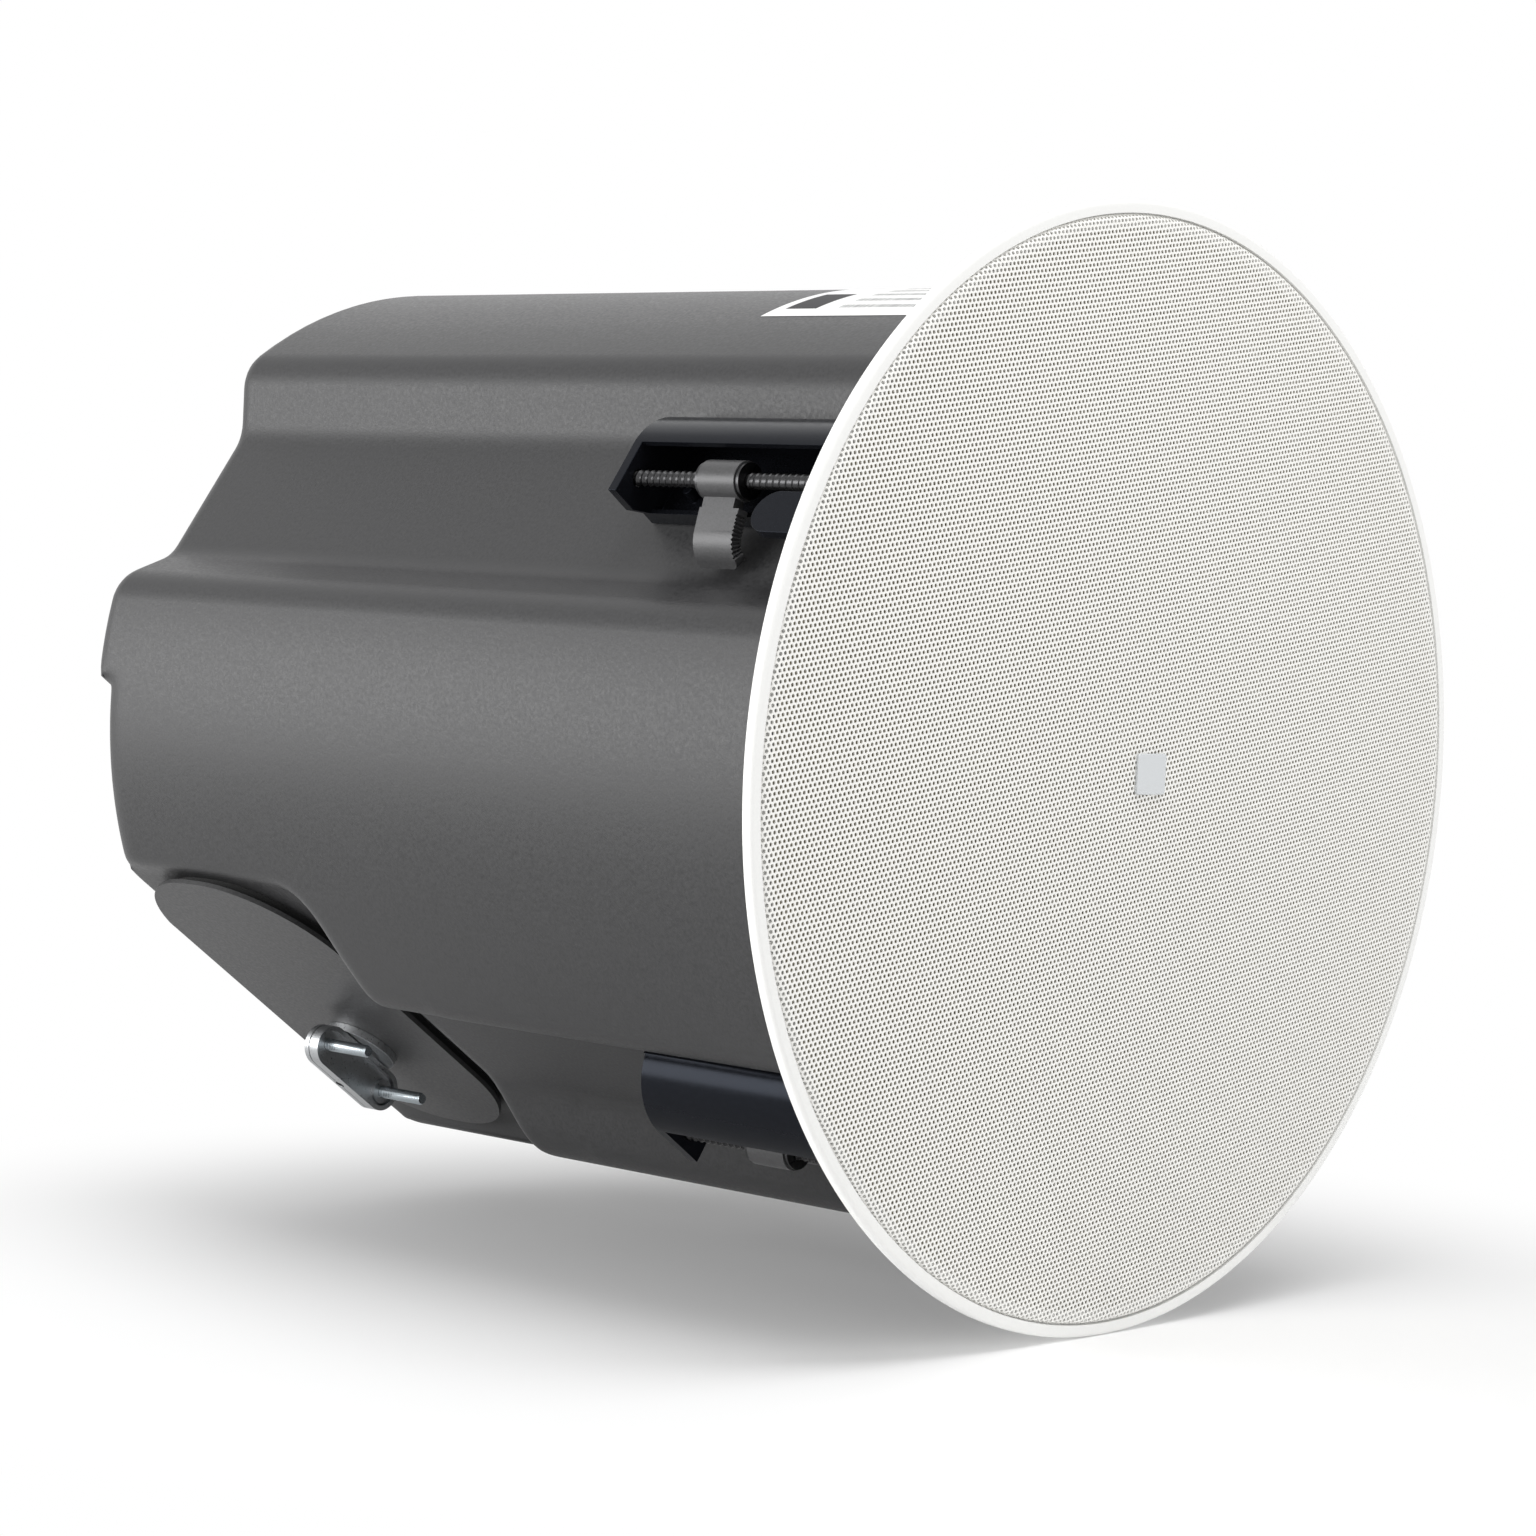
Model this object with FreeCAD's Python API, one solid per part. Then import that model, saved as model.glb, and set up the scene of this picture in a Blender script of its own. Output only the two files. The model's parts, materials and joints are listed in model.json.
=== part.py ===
import FreeCAD, Part
import math
import os

# In-ceiling loudspeaker, in millimetres. +Z points up into the ceiling and the grille faces down.
# The origin is on the axis, in the plane of the flange that seats against the ceiling.

# Bezel and grille
rim_radius = 166.0
rim_lip = 4.0
rim_edge_round = 1.4
flange_depth = 4.0
flange_wall = 2.2
ceiling_seat_width = 16.0
relief_land = 2.0
relief_width = 0.8
relief_depth = 0.4
bezel_web = 6.5
collar_wall = 3.6
collar_height = 5.0
grille_gap = 0.3
grille_rise = 5.2
grille_sheet = 0.8
grille_roll = 2.0
grille_shoulder = 0.4
badge_width = 13.6
badge_height = 12.0
badge_thickness = 1.0
badge_round = 1.0
badge_turn_deg = -34.5
scrim_thickness = 0.3

# Baffle
baffle_thickness = 4.0
baffle_gap = 0.3

# Back can, drawn from sheet steel
can_sheet = 1.2
can_back = 306.5
cutout_clearance = 8.5
flute_depth = 19.5
flute_half_width = 24.0
flute_mouth_half_width = 42.55
lobe_blend = 14.0
back_blend = 9.0
step_depth = 6.0
step_line = 72.0
step_ramp = 12.0
can_flange_width = 20.0
gasket_thickness = 2.0
gasket_inset = 1.0

# Screws that hold the can to the baffle
can_screw_inset = 15.5
can_screw_spread_deg = 14.0
can_screw_radius = 2.0
can_screw_head_radius = 3.5
can_screw_head_height = 2.2
can_screw_length = 12.0

# Pocket for the terminal cover
pocket_depth = 7.5
pocket_front = 215.0
pocket_side_wall = 2.3
pocket_corner = 12.0
pocket_flare = 36.0
foam_thickness = 3.0
cover_sheet = 1.5
cover_front = 223.0
cover_offset = 5.0
cover_corner = 37.0
cover_fold_radius = 1.0
cover_tab_half_width = 38.0
cover_tab_depth = 20.0
foam_inset = 3.0
foam_margin = 4.0

# Terminal cup in the pocket's window
window_half_width = 42.0
window_front = 238.0
window_back = 290.0
cup_gap = 0.3
cup_wall = 1.6
cup_depth = 26.0
cup_lip = 2.5
block_length = 44.0
block_width = 13.0
block_height = 15.0
block_ways = 4
block_way_radius = 2.2
block_back_gap = 4.0

# Cover screws, in the tab over the stepped back
cover_screw_spread = 52.0
cover_screw_radius = 1.75
cover_screw_head_radius = 3.6
cover_screw_head_height = 2.0
cover_screw_length = 12.0

# Two-screw cable connector
connector_offset = -18.0
connector_height = 266.4
nipple_radius = 10.0
nipple_bore_radius = 7.0
trough_radius = 1.5
nipple_length = 9.0
connector_flange_radius = 12.5
connector_flange_thickness = 2.6
dish_length = 41.0
dish_width = 13.5
dish_wall = 2.0
dish_rim = 1.6
dish_rim_height = 2.0
jaw_gap = 0.4
connector_screw_spread = 30.0
connector_screw_radius = 2.0
connector_screw_length = 24.6
connector_head_radius = 3.0
connector_head_height = 2.0
jaw_wall = 2.0
locknut_radius = 13.0
locknut_thickness = 2.6
locknut_lugs = 6
locknut_lug_depth = 1.2

# Dog-ear clamps, one in each flute
clamp_count = 4
clamp_standoff = 15.5
screw_radius = 2.5
screw_head_radius = 4.5
screw_head_height = 3.0
screw_slot_width = 1.2
screw_slot_depth = 1.4
screw_overrun = 2.5
running_gap = 0.05
seat_gap = 0.1
housing_gap = 0.3
housing_length = 93.0
housing_wall = 2.0
housing_plate = 3.2
housing_open_side = 8.5
housing_far_side = 28.5
roof_mid_drop = 0.5
roof_mid_side = 22.5
roof_edge_rise = 5.5
roof_edge_side = 9.0
plate_cheek_drop = 4.0
lip_side = 5.0
lip_wall = 1.8
lip_height = 3.0
peg_radius = 1.6
peg_height = 4.5
peg_place = 79.0
peg_side = 3.0
tongue_rise = 3.1
tongue_thickness = 3.2
tongue_near_side = 7.5
tongue_far_side = 21.5
tongue_length = 32.5

nut_radius = 4.0
nut_flange_radius = 5.3
nut_flange_thickness = 1.2
hub_radius = 5.8
hub_front = 51.6
hub_length = 14.0
ear_stow_tilt_deg = 20.0
ear_thickness = 4.0
ear_straight = 15.5
ear_bend_radius = 8.0
ear_bend_deg = 50.0
ear_tail = 2.5
ear_tip_round = 2.0
neck_length = 8.5
neck_setback = 0.8
neck_width = 12.0
paddle_width = 15.0
tooth_pitch = 1.1
tooth_depth = 0.6
tooth_count = 11
tooth_start = 10.0

# Woofer
basket_clearance = 21.0
basket_rim = 13.0
basket_sheet = 1.6
basket_throat_gap = 3.6
basket_throat_depth = 12.0
basket_seat_radius = 56.0
basket_depth = 60.0
basket_windows = 6
basket_window_width = 34.0
basket_window_low = 16.0
basket_window_high = 44.0
basket_floor_inset = 3.2
spider_seat_depth = 52.0
spider_thickness = 0.6
spider_waves = 5
spider_wave_height = 1.6
pole_radius = 18.3
coil_gap = 0.6
coil_wall = 0.7
coil_top_gap = 0.7
coil_front = 38.0
coil_length = 34.0
top_plate_radius = 50.0
top_plate_thickness = 6.0
magnet_radius = 58.0
magnet_hole_radius = 30.0
magnet_thickness = 20.0
yoke_radius = 55.0
yoke_thickness = 7.0
vent_radius = 5.0
cone_front = 9.0
surround_width = 7.4
cone_sheet = 0.9
cap_rise = 8.0
surround_roll = 5.0
surround_sheet = 0.8
surround_steps = 8
woofer_screw_inset = 6.0
woofer_screw_count = 4
woofer_screw_turn_deg = 20.0
woofer_screw_radius = 2.0
woofer_screw_length = 9.0

# Tweeter on its bridge across the woofer opening
bridge_width = 18.0
bridge_thickness = 2.4
bridge_end_inset = 3.0
tweeter_radius = 21.0
tweeter_depth = 13.0
tweeter_wall = 2.0
tweeter_dome_radius = 13.0

# Tap switch and knob
switch_gap = 3.5
switch_angle_deg = 45.0
switch_radius = 8.0
switch_depth = 15.0
switch_shaft_radius = 3.0
knob_radius = 7.0
knob_height = 4.0
knob_slot_width = 1.6
knob_slot_depth = 1.5

# Crossover and line transformer, on the back wall of the can
board_length = 66.0
board_width = 52.0
board_thickness = 1.6
board_centre = (52.0, 18.0)
standoff_height = 10.0
standoff_radius = 3.0
standoff_inset = 5.0
inductor_radius = 13.0
inductor_hole_radius = 5.0
inductor_height = 14.0
capacitor_radius = 6.5
capacitor_length = 26.0
core_length = 58.0
core_width = 48.0
core_stack = 22.0
core_limb = 10.0
core_centre = (-40.0, 22.0)
winding_gap = 0.4
winding_overhang = 8.0
bracket_sheet = 1.5
bracket_foot = 12.0

# Damping pads on the inner walls of the lobes
pad_thickness = 12.0
pad_half_angle_deg = 15.0
pad_front = 60.0
pad_back_gap = 10.0
pad_gap = 0.2

# Values that follow from the sizes above
origin = FreeCAD.Vector(0, 0, 0)
up = FreeCAD.Vector(0, 0, 1)
along_x = FreeCAD.Vector(1, 0, 0)
along_y = FreeCAD.Vector(0, 1, 0)
front_rim = -flange_depth
grille_radius = rim_radius - rim_lip
collar_radius = rim_radius - ceiling_seat_width
lobe_radius = collar_radius - cutout_clearance
lobe_half_gap_deg = math.degrees(math.asin(flute_mouth_half_width / lobe_radius))
flute_floor = lobe_radius - flute_depth
clamp_axis_radius = flute_floor + clamp_standoff
bezel_inner_radius = clamp_axis_radius - bezel_web
baffle_back = baffle_thickness
can_front = baffle_back + gasket_thickness
can_inside_back = can_back - can_sheet
step_height = can_back - step_depth
beyond_back = can_back + back_blend
beyond_lobe = lobe_radius + ceiling_seat_width
can_screw_circle = lobe_radius - can_screw_inset
pocket_floor = flute_floor - pocket_depth
pocket_mouth_reach = math.sqrt(lobe_radius ** 2 - (pocket_floor + pocket_side_wall) ** 2)
pocket_slope = pocket_flare / (beyond_lobe - pocket_floor)
pocket_half_width = pocket_mouth_reach - pocket_slope * pocket_side_wall - cover_offset
cover_length = 2 * pocket_half_width
cover_face = pocket_floor + foam_thickness + cover_sheet
cover_inner_face = pocket_floor + foam_thickness
cover_back = step_height + cover_sheet
housing_front = baffle_back
housing_back = housing_front + housing_length
roof_mid_radius = clamp_axis_radius - roof_mid_drop
roof_edge_radius = clamp_axis_radius + roof_edge_rise
plate_cheek_radius = clamp_axis_radius - plate_cheek_drop
tongue_inner_radius = clamp_axis_radius + tongue_rise
base_top = flute_floor + housing_gap + housing_wall
lip_top = base_top + lip_height
hub_back = hub_front + hub_length
pad_back = pocket_front - pocket_flare - pad_back_gap
basket_radius = flute_floor - basket_clearance
woofer_opening_radius = basket_radius - basket_rim
basket_throat_radius = woofer_opening_radius - basket_throat_gap
cone_radius = basket_throat_radius - surround_width
woofer_screw_circle = basket_radius - woofer_screw_inset
bridge_end_radius = basket_radius - bridge_end_inset
switch_circle = lobe_radius - can_flange_width - switch_gap - switch_radius
coil_radius = pole_radius + coil_gap
coil_outer_radius = coil_radius + coil_wall
gap_hole_radius = coil_outer_radius + coil_top_gap
parts = {}


def vec(x, y, z):
    return FreeCAD.Vector(x, y, z)


def polar(radius, angle_deg, height=0.0):
    angle = math.radians(angle_deg)
    return vec(radius * math.cos(angle), radius * math.sin(angle), height)


def polygon_face(points):
    return Part.Face(Part.makePolygon(points + points[:1]))


def turned(profile):
    """Solid of revolution from (radius, height) corners."""
    corners = [vec(radius, 0, height) for radius, height in profile]
    return polygon_face(corners).revolve(origin, up, 360)


def ring(inner, outer, low, high):
    return turned([(inner, low), (outer, low), (outer, high), (inner, high)])


def rod(radius, low, high, centre=origin):
    return Part.makeCylinder(radius, high - low, vec(centre.x, centre.y, low))


def block(x_range, y_range, z_range):
    corner = vec(x_range[0], y_range[0], z_range[0])
    sides = [high - low for low, high in (x_range, y_range, z_range)]
    return Part.makeBox(*sides, corner)


def around(shape, angle_deg):
    return shape.rotated(origin, up, angle_deg)


def fused(shapes):
    return shapes[0].multiFuse(shapes[1:]).removeSplitter()


def pan_screw(radius, head_radius, head_height, length):
    """Pan-head screw with its head above z = 0 and its shank below."""
    head = Part.makeCylinder(head_radius, head_height)
    crown = [edge for edge in head.Edges if edge.BoundBox.ZMin > head_height / 2]
    head = head.makeFillet(head_height * 0.45, crown)
    return head.fuse(Part.makeCylinder(radius, length, origin, -up)).removeSplitter()


# Section of the can: four round lobes joined by four flat flutes

def lobed_section():
    edges = []
    for index in range(clamp_count):
        turn = 90.0 * index
        floor_near = around_point(vec(flute_floor, -flute_half_width, 0), turn)
        floor_far = around_point(vec(flute_floor, flute_half_width, 0), turn)
        corner_near = polar(lobe_radius, turn - lobe_half_gap_deg)
        corner_far = polar(lobe_radius, turn + lobe_half_gap_deg)
        next_corner = polar(lobe_radius, turn + 90.0 - lobe_half_gap_deg)
        middle = polar(lobe_radius, turn + 45.0)
        edges.append(Part.LineSegment(corner_near, floor_near).toShape())
        edges.append(Part.LineSegment(floor_near, floor_far).toShape())
        edges.append(Part.LineSegment(floor_far, corner_far).toShape())
        edges.append(Part.ArcOfCircle(corner_far, middle, next_corner).toShape())
    prism = Part.Face(Part.Wire(edges)).extrude(up)
    upright = [edge for edge in prism.Edges if edge.BoundBox.ZLength > 0.5]
    soft = prism.makeFillet(lobe_blend, upright)
    return [face for face in soft.Faces if face.BoundBox.ZMax < 0.5][0]


def around_point(point, angle_deg):
    return FreeCAD.Rotation(up, angle_deg).multVec(point)


section = lobed_section()


def lobed_prism(inset, low, high):
    face = section if inset == 0 else section.makeOffset2D(-inset)
    return face.translated(vec(0, 0, low)).extrude(vec(0, 0, high - low))


def rounded_end(prism, top, radius):
    rim = [edge for edge in prism.Edges if edge.BoundBox.ZMin > top - 0.01]
    return prism.makeFillet(radius, rim)


def pocket_outline(half_width, front, corner, depth):
    """Pocket outline in the plane y = -depth, open towards the back."""
    left = cover_offset - half_width
    right = cover_offset + half_width
    diagonal = corner * (1.0 - math.sqrt(0.5))
    points = {
        "left_back": vec(left, -depth, beyond_back),
        "left_front": vec(left, -depth, front + corner),
        "front_left": vec(left + corner, -depth, front),
        "front_right": vec(right - corner, -depth, front),
        "right_front": vec(right, -depth, front + corner),
        "right_back": vec(right, -depth, beyond_back),
    }
    left_middle = vec(left + diagonal, -depth, front + diagonal)
    right_middle = vec(right - diagonal, -depth, front + diagonal)
    left_arc = Part.ArcOfCircle(points["left_front"], left_middle, points["front_left"])
    right_arc = Part.ArcOfCircle(points["front_right"], right_middle, points["right_front"])
    return Part.Wire([
        Part.LineSegment(points["left_back"], points["left_front"]).toShape(),
        left_arc.toShape(),
        Part.LineSegment(points["front_left"], points["front_right"]).toShape(),
        right_arc.toShape(),
        Part.LineSegment(points["right_front"], points["right_back"]).toShape(),
        Part.LineSegment(points["right_back"], points["left_back"]).toShape(),
    ])


def pocket(grow):
    """Flared recess that takes the terminal cover; grow moves its walls outwards."""
    floor = pocket_outline(pocket_half_width + grow, pocket_front - grow, pocket_corner + grow,
                           pocket_floor - grow)
    mouth = pocket_outline(pocket_half_width + pocket_flare + grow, pocket_front - pocket_flare - grow,
                           pocket_corner + pocket_flare + grow, beyond_lobe)
    return Part.makeLoft([floor, mouth], True, True)


def can_body(inset):
    """The can's outside for inset 0, or its inside for inset equal to the sheet."""
    low = can_front
    blend = back_blend - inset
    tall = rounded_end(lobed_prism(inset, low, can_back - inset), can_back - inset, blend)
    short = rounded_end(lobed_prism(inset, low, step_height - inset), step_height - inset, blend)
    ramp_top = -step_line + step_ramp + inset
    ramp_foot = -step_line + inset
    wedge = polygon_face([
        vec(-beyond_lobe, ramp_top, can_back - inset),
        vec(-beyond_lobe, ramp_foot, step_height - inset),
        vec(-beyond_lobe, ramp_foot, step_height - 3 * back_blend),
        vec(-beyond_lobe, -beyond_lobe, step_height - 3 * back_blend),
        vec(-beyond_lobe, -beyond_lobe, beyond_back),
        vec(-beyond_lobe, ramp_top, beyond_back),
    ]).extrude(vec(2 * beyond_lobe, 0, 0))
    return tall.cut(wedge).fuse(short).cut(pocket(inset)).removeSplitter()


def lobe_screw_places():
    places = []
    for index in range(clamp_count):
        for side in (-1, 1):
            places.append(45.0 + 90.0 * index + side * can_screw_spread_deg)
    return places


def make_can():
    cavity = can_body(can_sheet)
    mouth_flange = lobed_prism(can_sheet, can_front, can_front + can_sheet)
    mouth_flange = mouth_flange.cut(lobed_prism(can_flange_width, can_front, can_front + can_sheet))
    can = can_body(0).cut(cavity).fuse(mouth_flange)
    window = block((-window_half_width, window_half_width), (-beyond_lobe, -pocket_floor + 2 * can_sheet),
                   (window_front, window_back))
    can = can.cut(window)
    for angle in lobe_screw_places():
        can = can.cut(rod(can_screw_radius, can_front - 1, can_front + 2 * can_sheet,
                          polar(can_screw_circle, angle)))
    for place in cover_screw_places():
        can = can.cut(rod(cover_screw_radius, step_height - 2 * can_sheet, step_height + 1, place))
    parts["back_can"] = can.removeSplitter()


def make_can_fasteners():
    frame = lobed_prism(gasket_inset, baffle_back, can_front)
    frame = frame.cut(lobed_prism(can_flange_width - gasket_inset, baffle_back, can_front))
    screws = []
    for angle in lobe_screw_places():
        place = polar(can_screw_circle, angle)
        frame = frame.cut(rod(can_screw_radius, baffle_back, can_front, place))
        screw = pan_screw(can_screw_radius, can_screw_head_radius, can_screw_head_height, can_screw_length)
        screws.append(screw.rotated(origin, along_x, 180).translated(place))
    parts["can_gasket"] = frame
    parts["can_screws"] = Part.makeCompound(screws)


# Front: bezel, grille, badge, cloth and baffle

def clamp_places():
    return [polar(clamp_axis_radius, 360.0 / clamp_count * index) for index in range(clamp_count)]


def make_bezel():
    lip = grille_radius + grille_gap
    relief_inner = collar_radius + relief_land
    relief_outer = relief_inner + relief_width
    body = turned([
        (bezel_inner_radius, -flange_wall), (lip, -flange_wall), (lip, front_rim), (rim_radius, front_rim),
        (rim_radius, 0), (relief_outer, 0), ((relief_inner + relief_outer) / 2, -relief_depth),
        (relief_inner, 0), (bezel_inner_radius, 0),
    ])
    outer_rim = [edge for edge in body.Edges
                 if edge.BoundBox.XMax > rim_radius - 0.01 and edge.BoundBox.ZLength < 0.01]
    body = body.makeFillet(rim_edge_round, outer_rim)
    for place in clamp_places():
        access = rod(screw_head_radius + housing_gap, front_rim, 0, place)
        body = body.cut(access)
    parts["bezel_ring"] = body
    parts["bezel_collar"] = ring(collar_radius - collar_wall, collar_radius, 0, collar_height)


def dome_height(radius, offset):
    """Height of the grille's dome at a radius, offset inwards from its outer face."""
    edge = grille_radius - grille_roll
    rise = grille_rise - grille_shoulder
    sphere = (edge ** 2 + rise ** 2) / (2 * rise)
    centre = front_rim - grille_rise + sphere
    return centre - math.sqrt((sphere - offset) ** 2 - radius ** 2)


def dome_arc(radius, offset):
    """Dome curve from the axis out to a radius, in the plane y = 0."""
    places = [vec(reach, 0, dome_height(reach, offset)) for reach in (0, radius / 2, radius)]
    return Part.ArcOfCircle(*places)


def make_grille():
    edge = grille_radius - grille_roll
    low = dome_height(edge, 0)
    outer_corner = vec(grille_radius, 0, low + grille_roll)
    inner_radius = grille_radius - grille_sheet
    inner_roll = grille_roll - grille_sheet
    inner_start = vec(edge, 0, dome_height(edge, grille_sheet))
    inner_corner = vec(inner_radius, 0, low + grille_roll)
    slant = math.sqrt(0.5)
    outer_mid = vec(edge + grille_roll * slant, 0, low + grille_roll * (1 - slant))
    inner_mid = vec(edge + inner_roll * slant, 0, low + grille_roll - inner_roll * slant)
    foot = -flange_wall
    edges = [
        dome_arc(edge, 0).toShape(),
        Part.ArcOfCircle(vec(edge, 0, low), outer_mid, outer_corner).toShape(),
        Part.LineSegment(outer_corner, vec(grille_radius, 0, foot)).toShape(),
        Part.LineSegment(vec(grille_radius, 0, foot), vec(inner_radius, 0, foot)).toShape(),
        Part.LineSegment(vec(inner_radius, 0, foot), inner_corner).toShape(),
        Part.ArcOfCircle(inner_corner, inner_mid, inner_start).toShape(),
        dome_arc(edge, grille_sheet).toShape(),
        Part.LineSegment(vec(0, 0, dome_height(0, grille_sheet)), vec(0, 0, dome_height(0, 0))).toShape(),
    ]
    wire = Part.Wire(Part.__sortEdges__(edges))
    parts["grille"] = Part.Face(wire).revolve(origin, up, 360)

    face = dome_height(0, 0)
    badge = block((-badge_width / 2, badge_width / 2), (-badge_height / 2, badge_height / 2),
                  (face - badge_thickness, face))
    corners = [edge for edge in badge.Edges if edge.BoundBox.ZLength > badge_thickness / 2]
    badge = badge.makeFillet(badge_round, corners)
    parts["grille_badge"] = around(badge, badge_turn_deg)

    cloth_edge = edge - grille_roll
    outer_cloth = dome_arc(cloth_edge, grille_sheet)
    inner_cloth = dome_arc(cloth_edge, grille_sheet + scrim_thickness)
    rim_line = Part.LineSegment(outer_cloth.EndPoint, inner_cloth.EndPoint)
    axis_line = Part.LineSegment(inner_cloth.StartPoint, outer_cloth.StartPoint)
    cloth = [curve.toShape() for curve in (outer_cloth, rim_line, inner_cloth, axis_line)]
    parts["grille_scrim"] = Part.Face(Part.Wire(Part.__sortEdges__(cloth))).revolve(origin, up, 360)


def make_baffle():
    radius = collar_radius - collar_wall - baffle_gap
    body = ring(woofer_opening_radius, radius, 0, baffle_back)
    for place in clamp_places():
        body = body.cut(rod(screw_radius + running_gap, 0, baffle_back, place))
    for angle in lobe_screw_places():
        body = body.cut(rod(can_screw_radius, 0, baffle_back, polar(can_screw_circle, angle)))
    for place in woofer_screw_places():
        body = body.cut(rod(woofer_screw_radius, 0, baffle_back, place))
    body = body.cut(rod(switch_shaft_radius + baffle_gap, 0, baffle_back, switch_place()))
    parts["baffle"] = body


# Dog-ear clamps, drawn in the flute on +X and turned to the other flutes

def roof_arc(inset):
    """Curved roof of a clamp housing, from the flute's far side up to its open edge."""
    foot = vec(flute_floor, housing_far_side, 0)
    middle = vec(roof_mid_radius, roof_mid_side, 0)
    edge = vec(roof_edge_radius, roof_edge_side, 0)
    arc = Part.ArcOfCircle(foot, middle, edge)
    centre = arc.Center
    share = (arc.Radius - inset) / arc.Radius
    points = [centre + (point - centre) * share for point in (foot, middle, edge)]
    return Part.ArcOfCircle(*points)


def housing_plate_face():
    """End plate of a clamp housing, closed by the roof's curve."""
    roof = roof_arc(0)
    corners = [
        roof.EndPoint,
        vec(roof_edge_radius, -housing_open_side, 0),
        vec(plate_cheek_radius, -housing_open_side, 0),
        vec(lip_top, -lip_side, 0),
        vec(flute_floor, -lip_side, 0),
        roof.StartPoint,
    ]
    edges = [roof.toShape()]
    for near, far in zip(corners, corners[1:]):
        edges.append(Part.LineSegment(near, far).toShape())
    return Part.Face(Part.Wire(Part.__sortEdges__(edges)))


def housing_shape():
    low = housing_front
    outer = roof_arc(0)
    inner = roof_arc(housing_wall)
    roof_edges = [
        outer.toShape(),
        Part.LineSegment(outer.EndPoint, inner.EndPoint).toShape(),
        inner.toShape(),
        Part.LineSegment(inner.StartPoint, outer.StartPoint).toShape(),
    ]
    roof = Part.Face(Part.Wire(Part.__sortEdges__(roof_edges))).translated(vec(0, 0, low))
    roof = roof.extrude(vec(0, 0, housing_length))
    plate = housing_plate_face()
    front_plate = plate.translated(vec(0, 0, low)).extrude(vec(0, 0, housing_plate))
    back_plate = plate.translated(vec(0, 0, housing_back - housing_plate)).extrude(vec(0, 0, housing_plate))

    base_limit = block((0, clamp_axis_radius), (-lip_side, housing_far_side), (low, housing_back))
    base = lobed_prism(-housing_gap - housing_wall, low, housing_back).common(base_limit)
    lip = block((flute_floor, lip_top), (-lip_side, lip_wall - lip_side), (low, housing_back))
    peg = Part.makeCylinder(peg_radius, base_top + peg_height - flute_floor,
                            vec(flute_floor, peg_side, low + peg_place), along_x)

    tongue_outer = tongue_inner_radius + tongue_thickness
    nose = (tongue_far_side - tongue_near_side) / 2
    nose_centre = low + tongue_length - nose
    tongue = block((tongue_inner_radius, tongue_outer), (-tongue_far_side, -tongue_near_side),
                   (low, nose_centre))
    tip = Part.makeCylinder(nose, tongue_thickness,
                            vec(tongue_inner_radius, -tongue_near_side - nose, nose_centre), along_x)
    root = block((plate_cheek_radius, tongue_outer), (-tongue_far_side, 0), (low, low + housing_plate))
    body = fused([roof, front_plate, back_plate, base, lip, peg, tongue, tip, root])
    body = body.cut(lobed_prism(-housing_gap, low, housing_back))
    bearing = rod(screw_radius + running_gap, low, housing_back, vec(clamp_axis_radius, 0, 0))
    return body.cut(bearing).removeSplitter()


def clamp_screw_shape():
    axis = vec(clamp_axis_radius, 0, 0)
    shank = rod(screw_radius, 0, housing_back + screw_overrun, axis)
    tip = [edge for edge in shank.Edges if edge.BoundBox.ZMin > housing_back]
    shank = shank.makeChamfer(screw_radius / 4, tip)
    top = -seat_gap
    head = rod(screw_head_radius, top - screw_head_height, top, axis)
    neck = rod(screw_radius, top, 0, axis)
    slot = block((clamp_axis_radius - screw_head_radius, clamp_axis_radius + screw_head_radius),
                 (-screw_slot_width / 2, screw_slot_width / 2),
                 (top - screw_head_height, top - screw_head_height + screw_slot_depth))
    return fused([shank, neck, head]).cut(slot)


def clamp_nut_shape():
    axis = vec(clamp_axis_radius, 0, 0)
    low = hub_front - seat_gap - nut_flange_thickness
    high = hub_back + seat_gap + nut_flange_thickness
    sleeve = rod(nut_radius, low, high, axis)
    front_flange = rod(nut_flange_radius, low, low + nut_flange_thickness, axis)
    back_flange = rod(nut_flange_radius, high - nut_flange_thickness, high, axis)
    bore = rod(screw_radius + running_gap, low, high, axis)
    return fused([sleeve, front_flange, back_flange]).cut(bore)


def ear_place(reach):
    """Point on the ear's middle line at a length from the screw, and the angle it has bent by there."""
    bend_length = ear_bend_radius * math.radians(ear_bend_deg)
    if reach <= ear_straight:
        return vec(clamp_axis_radius, -reach, 0), 0.0
    bent = min(reach - ear_straight, bend_length) / ear_bend_radius
    tail = max(reach - ear_straight - bend_length, 0)
    inward = ear_bend_radius * (1 - math.cos(bent)) + tail * math.sin(bent)
    along = ear_straight + ear_bend_radius * math.sin(bent) + tail * math.cos(bent)
    return vec(clamp_axis_radius - inward, -along, 0), bent


def ear_edge(reach, side):
    """Point on one face of the ear: side is +1 for the outer face and -1 for the face to the can."""
    place, bent = ear_place(reach)
    return place + vec(math.cos(bent), -math.sin(bent), 0) * (side * ear_thickness / 2)


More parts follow.
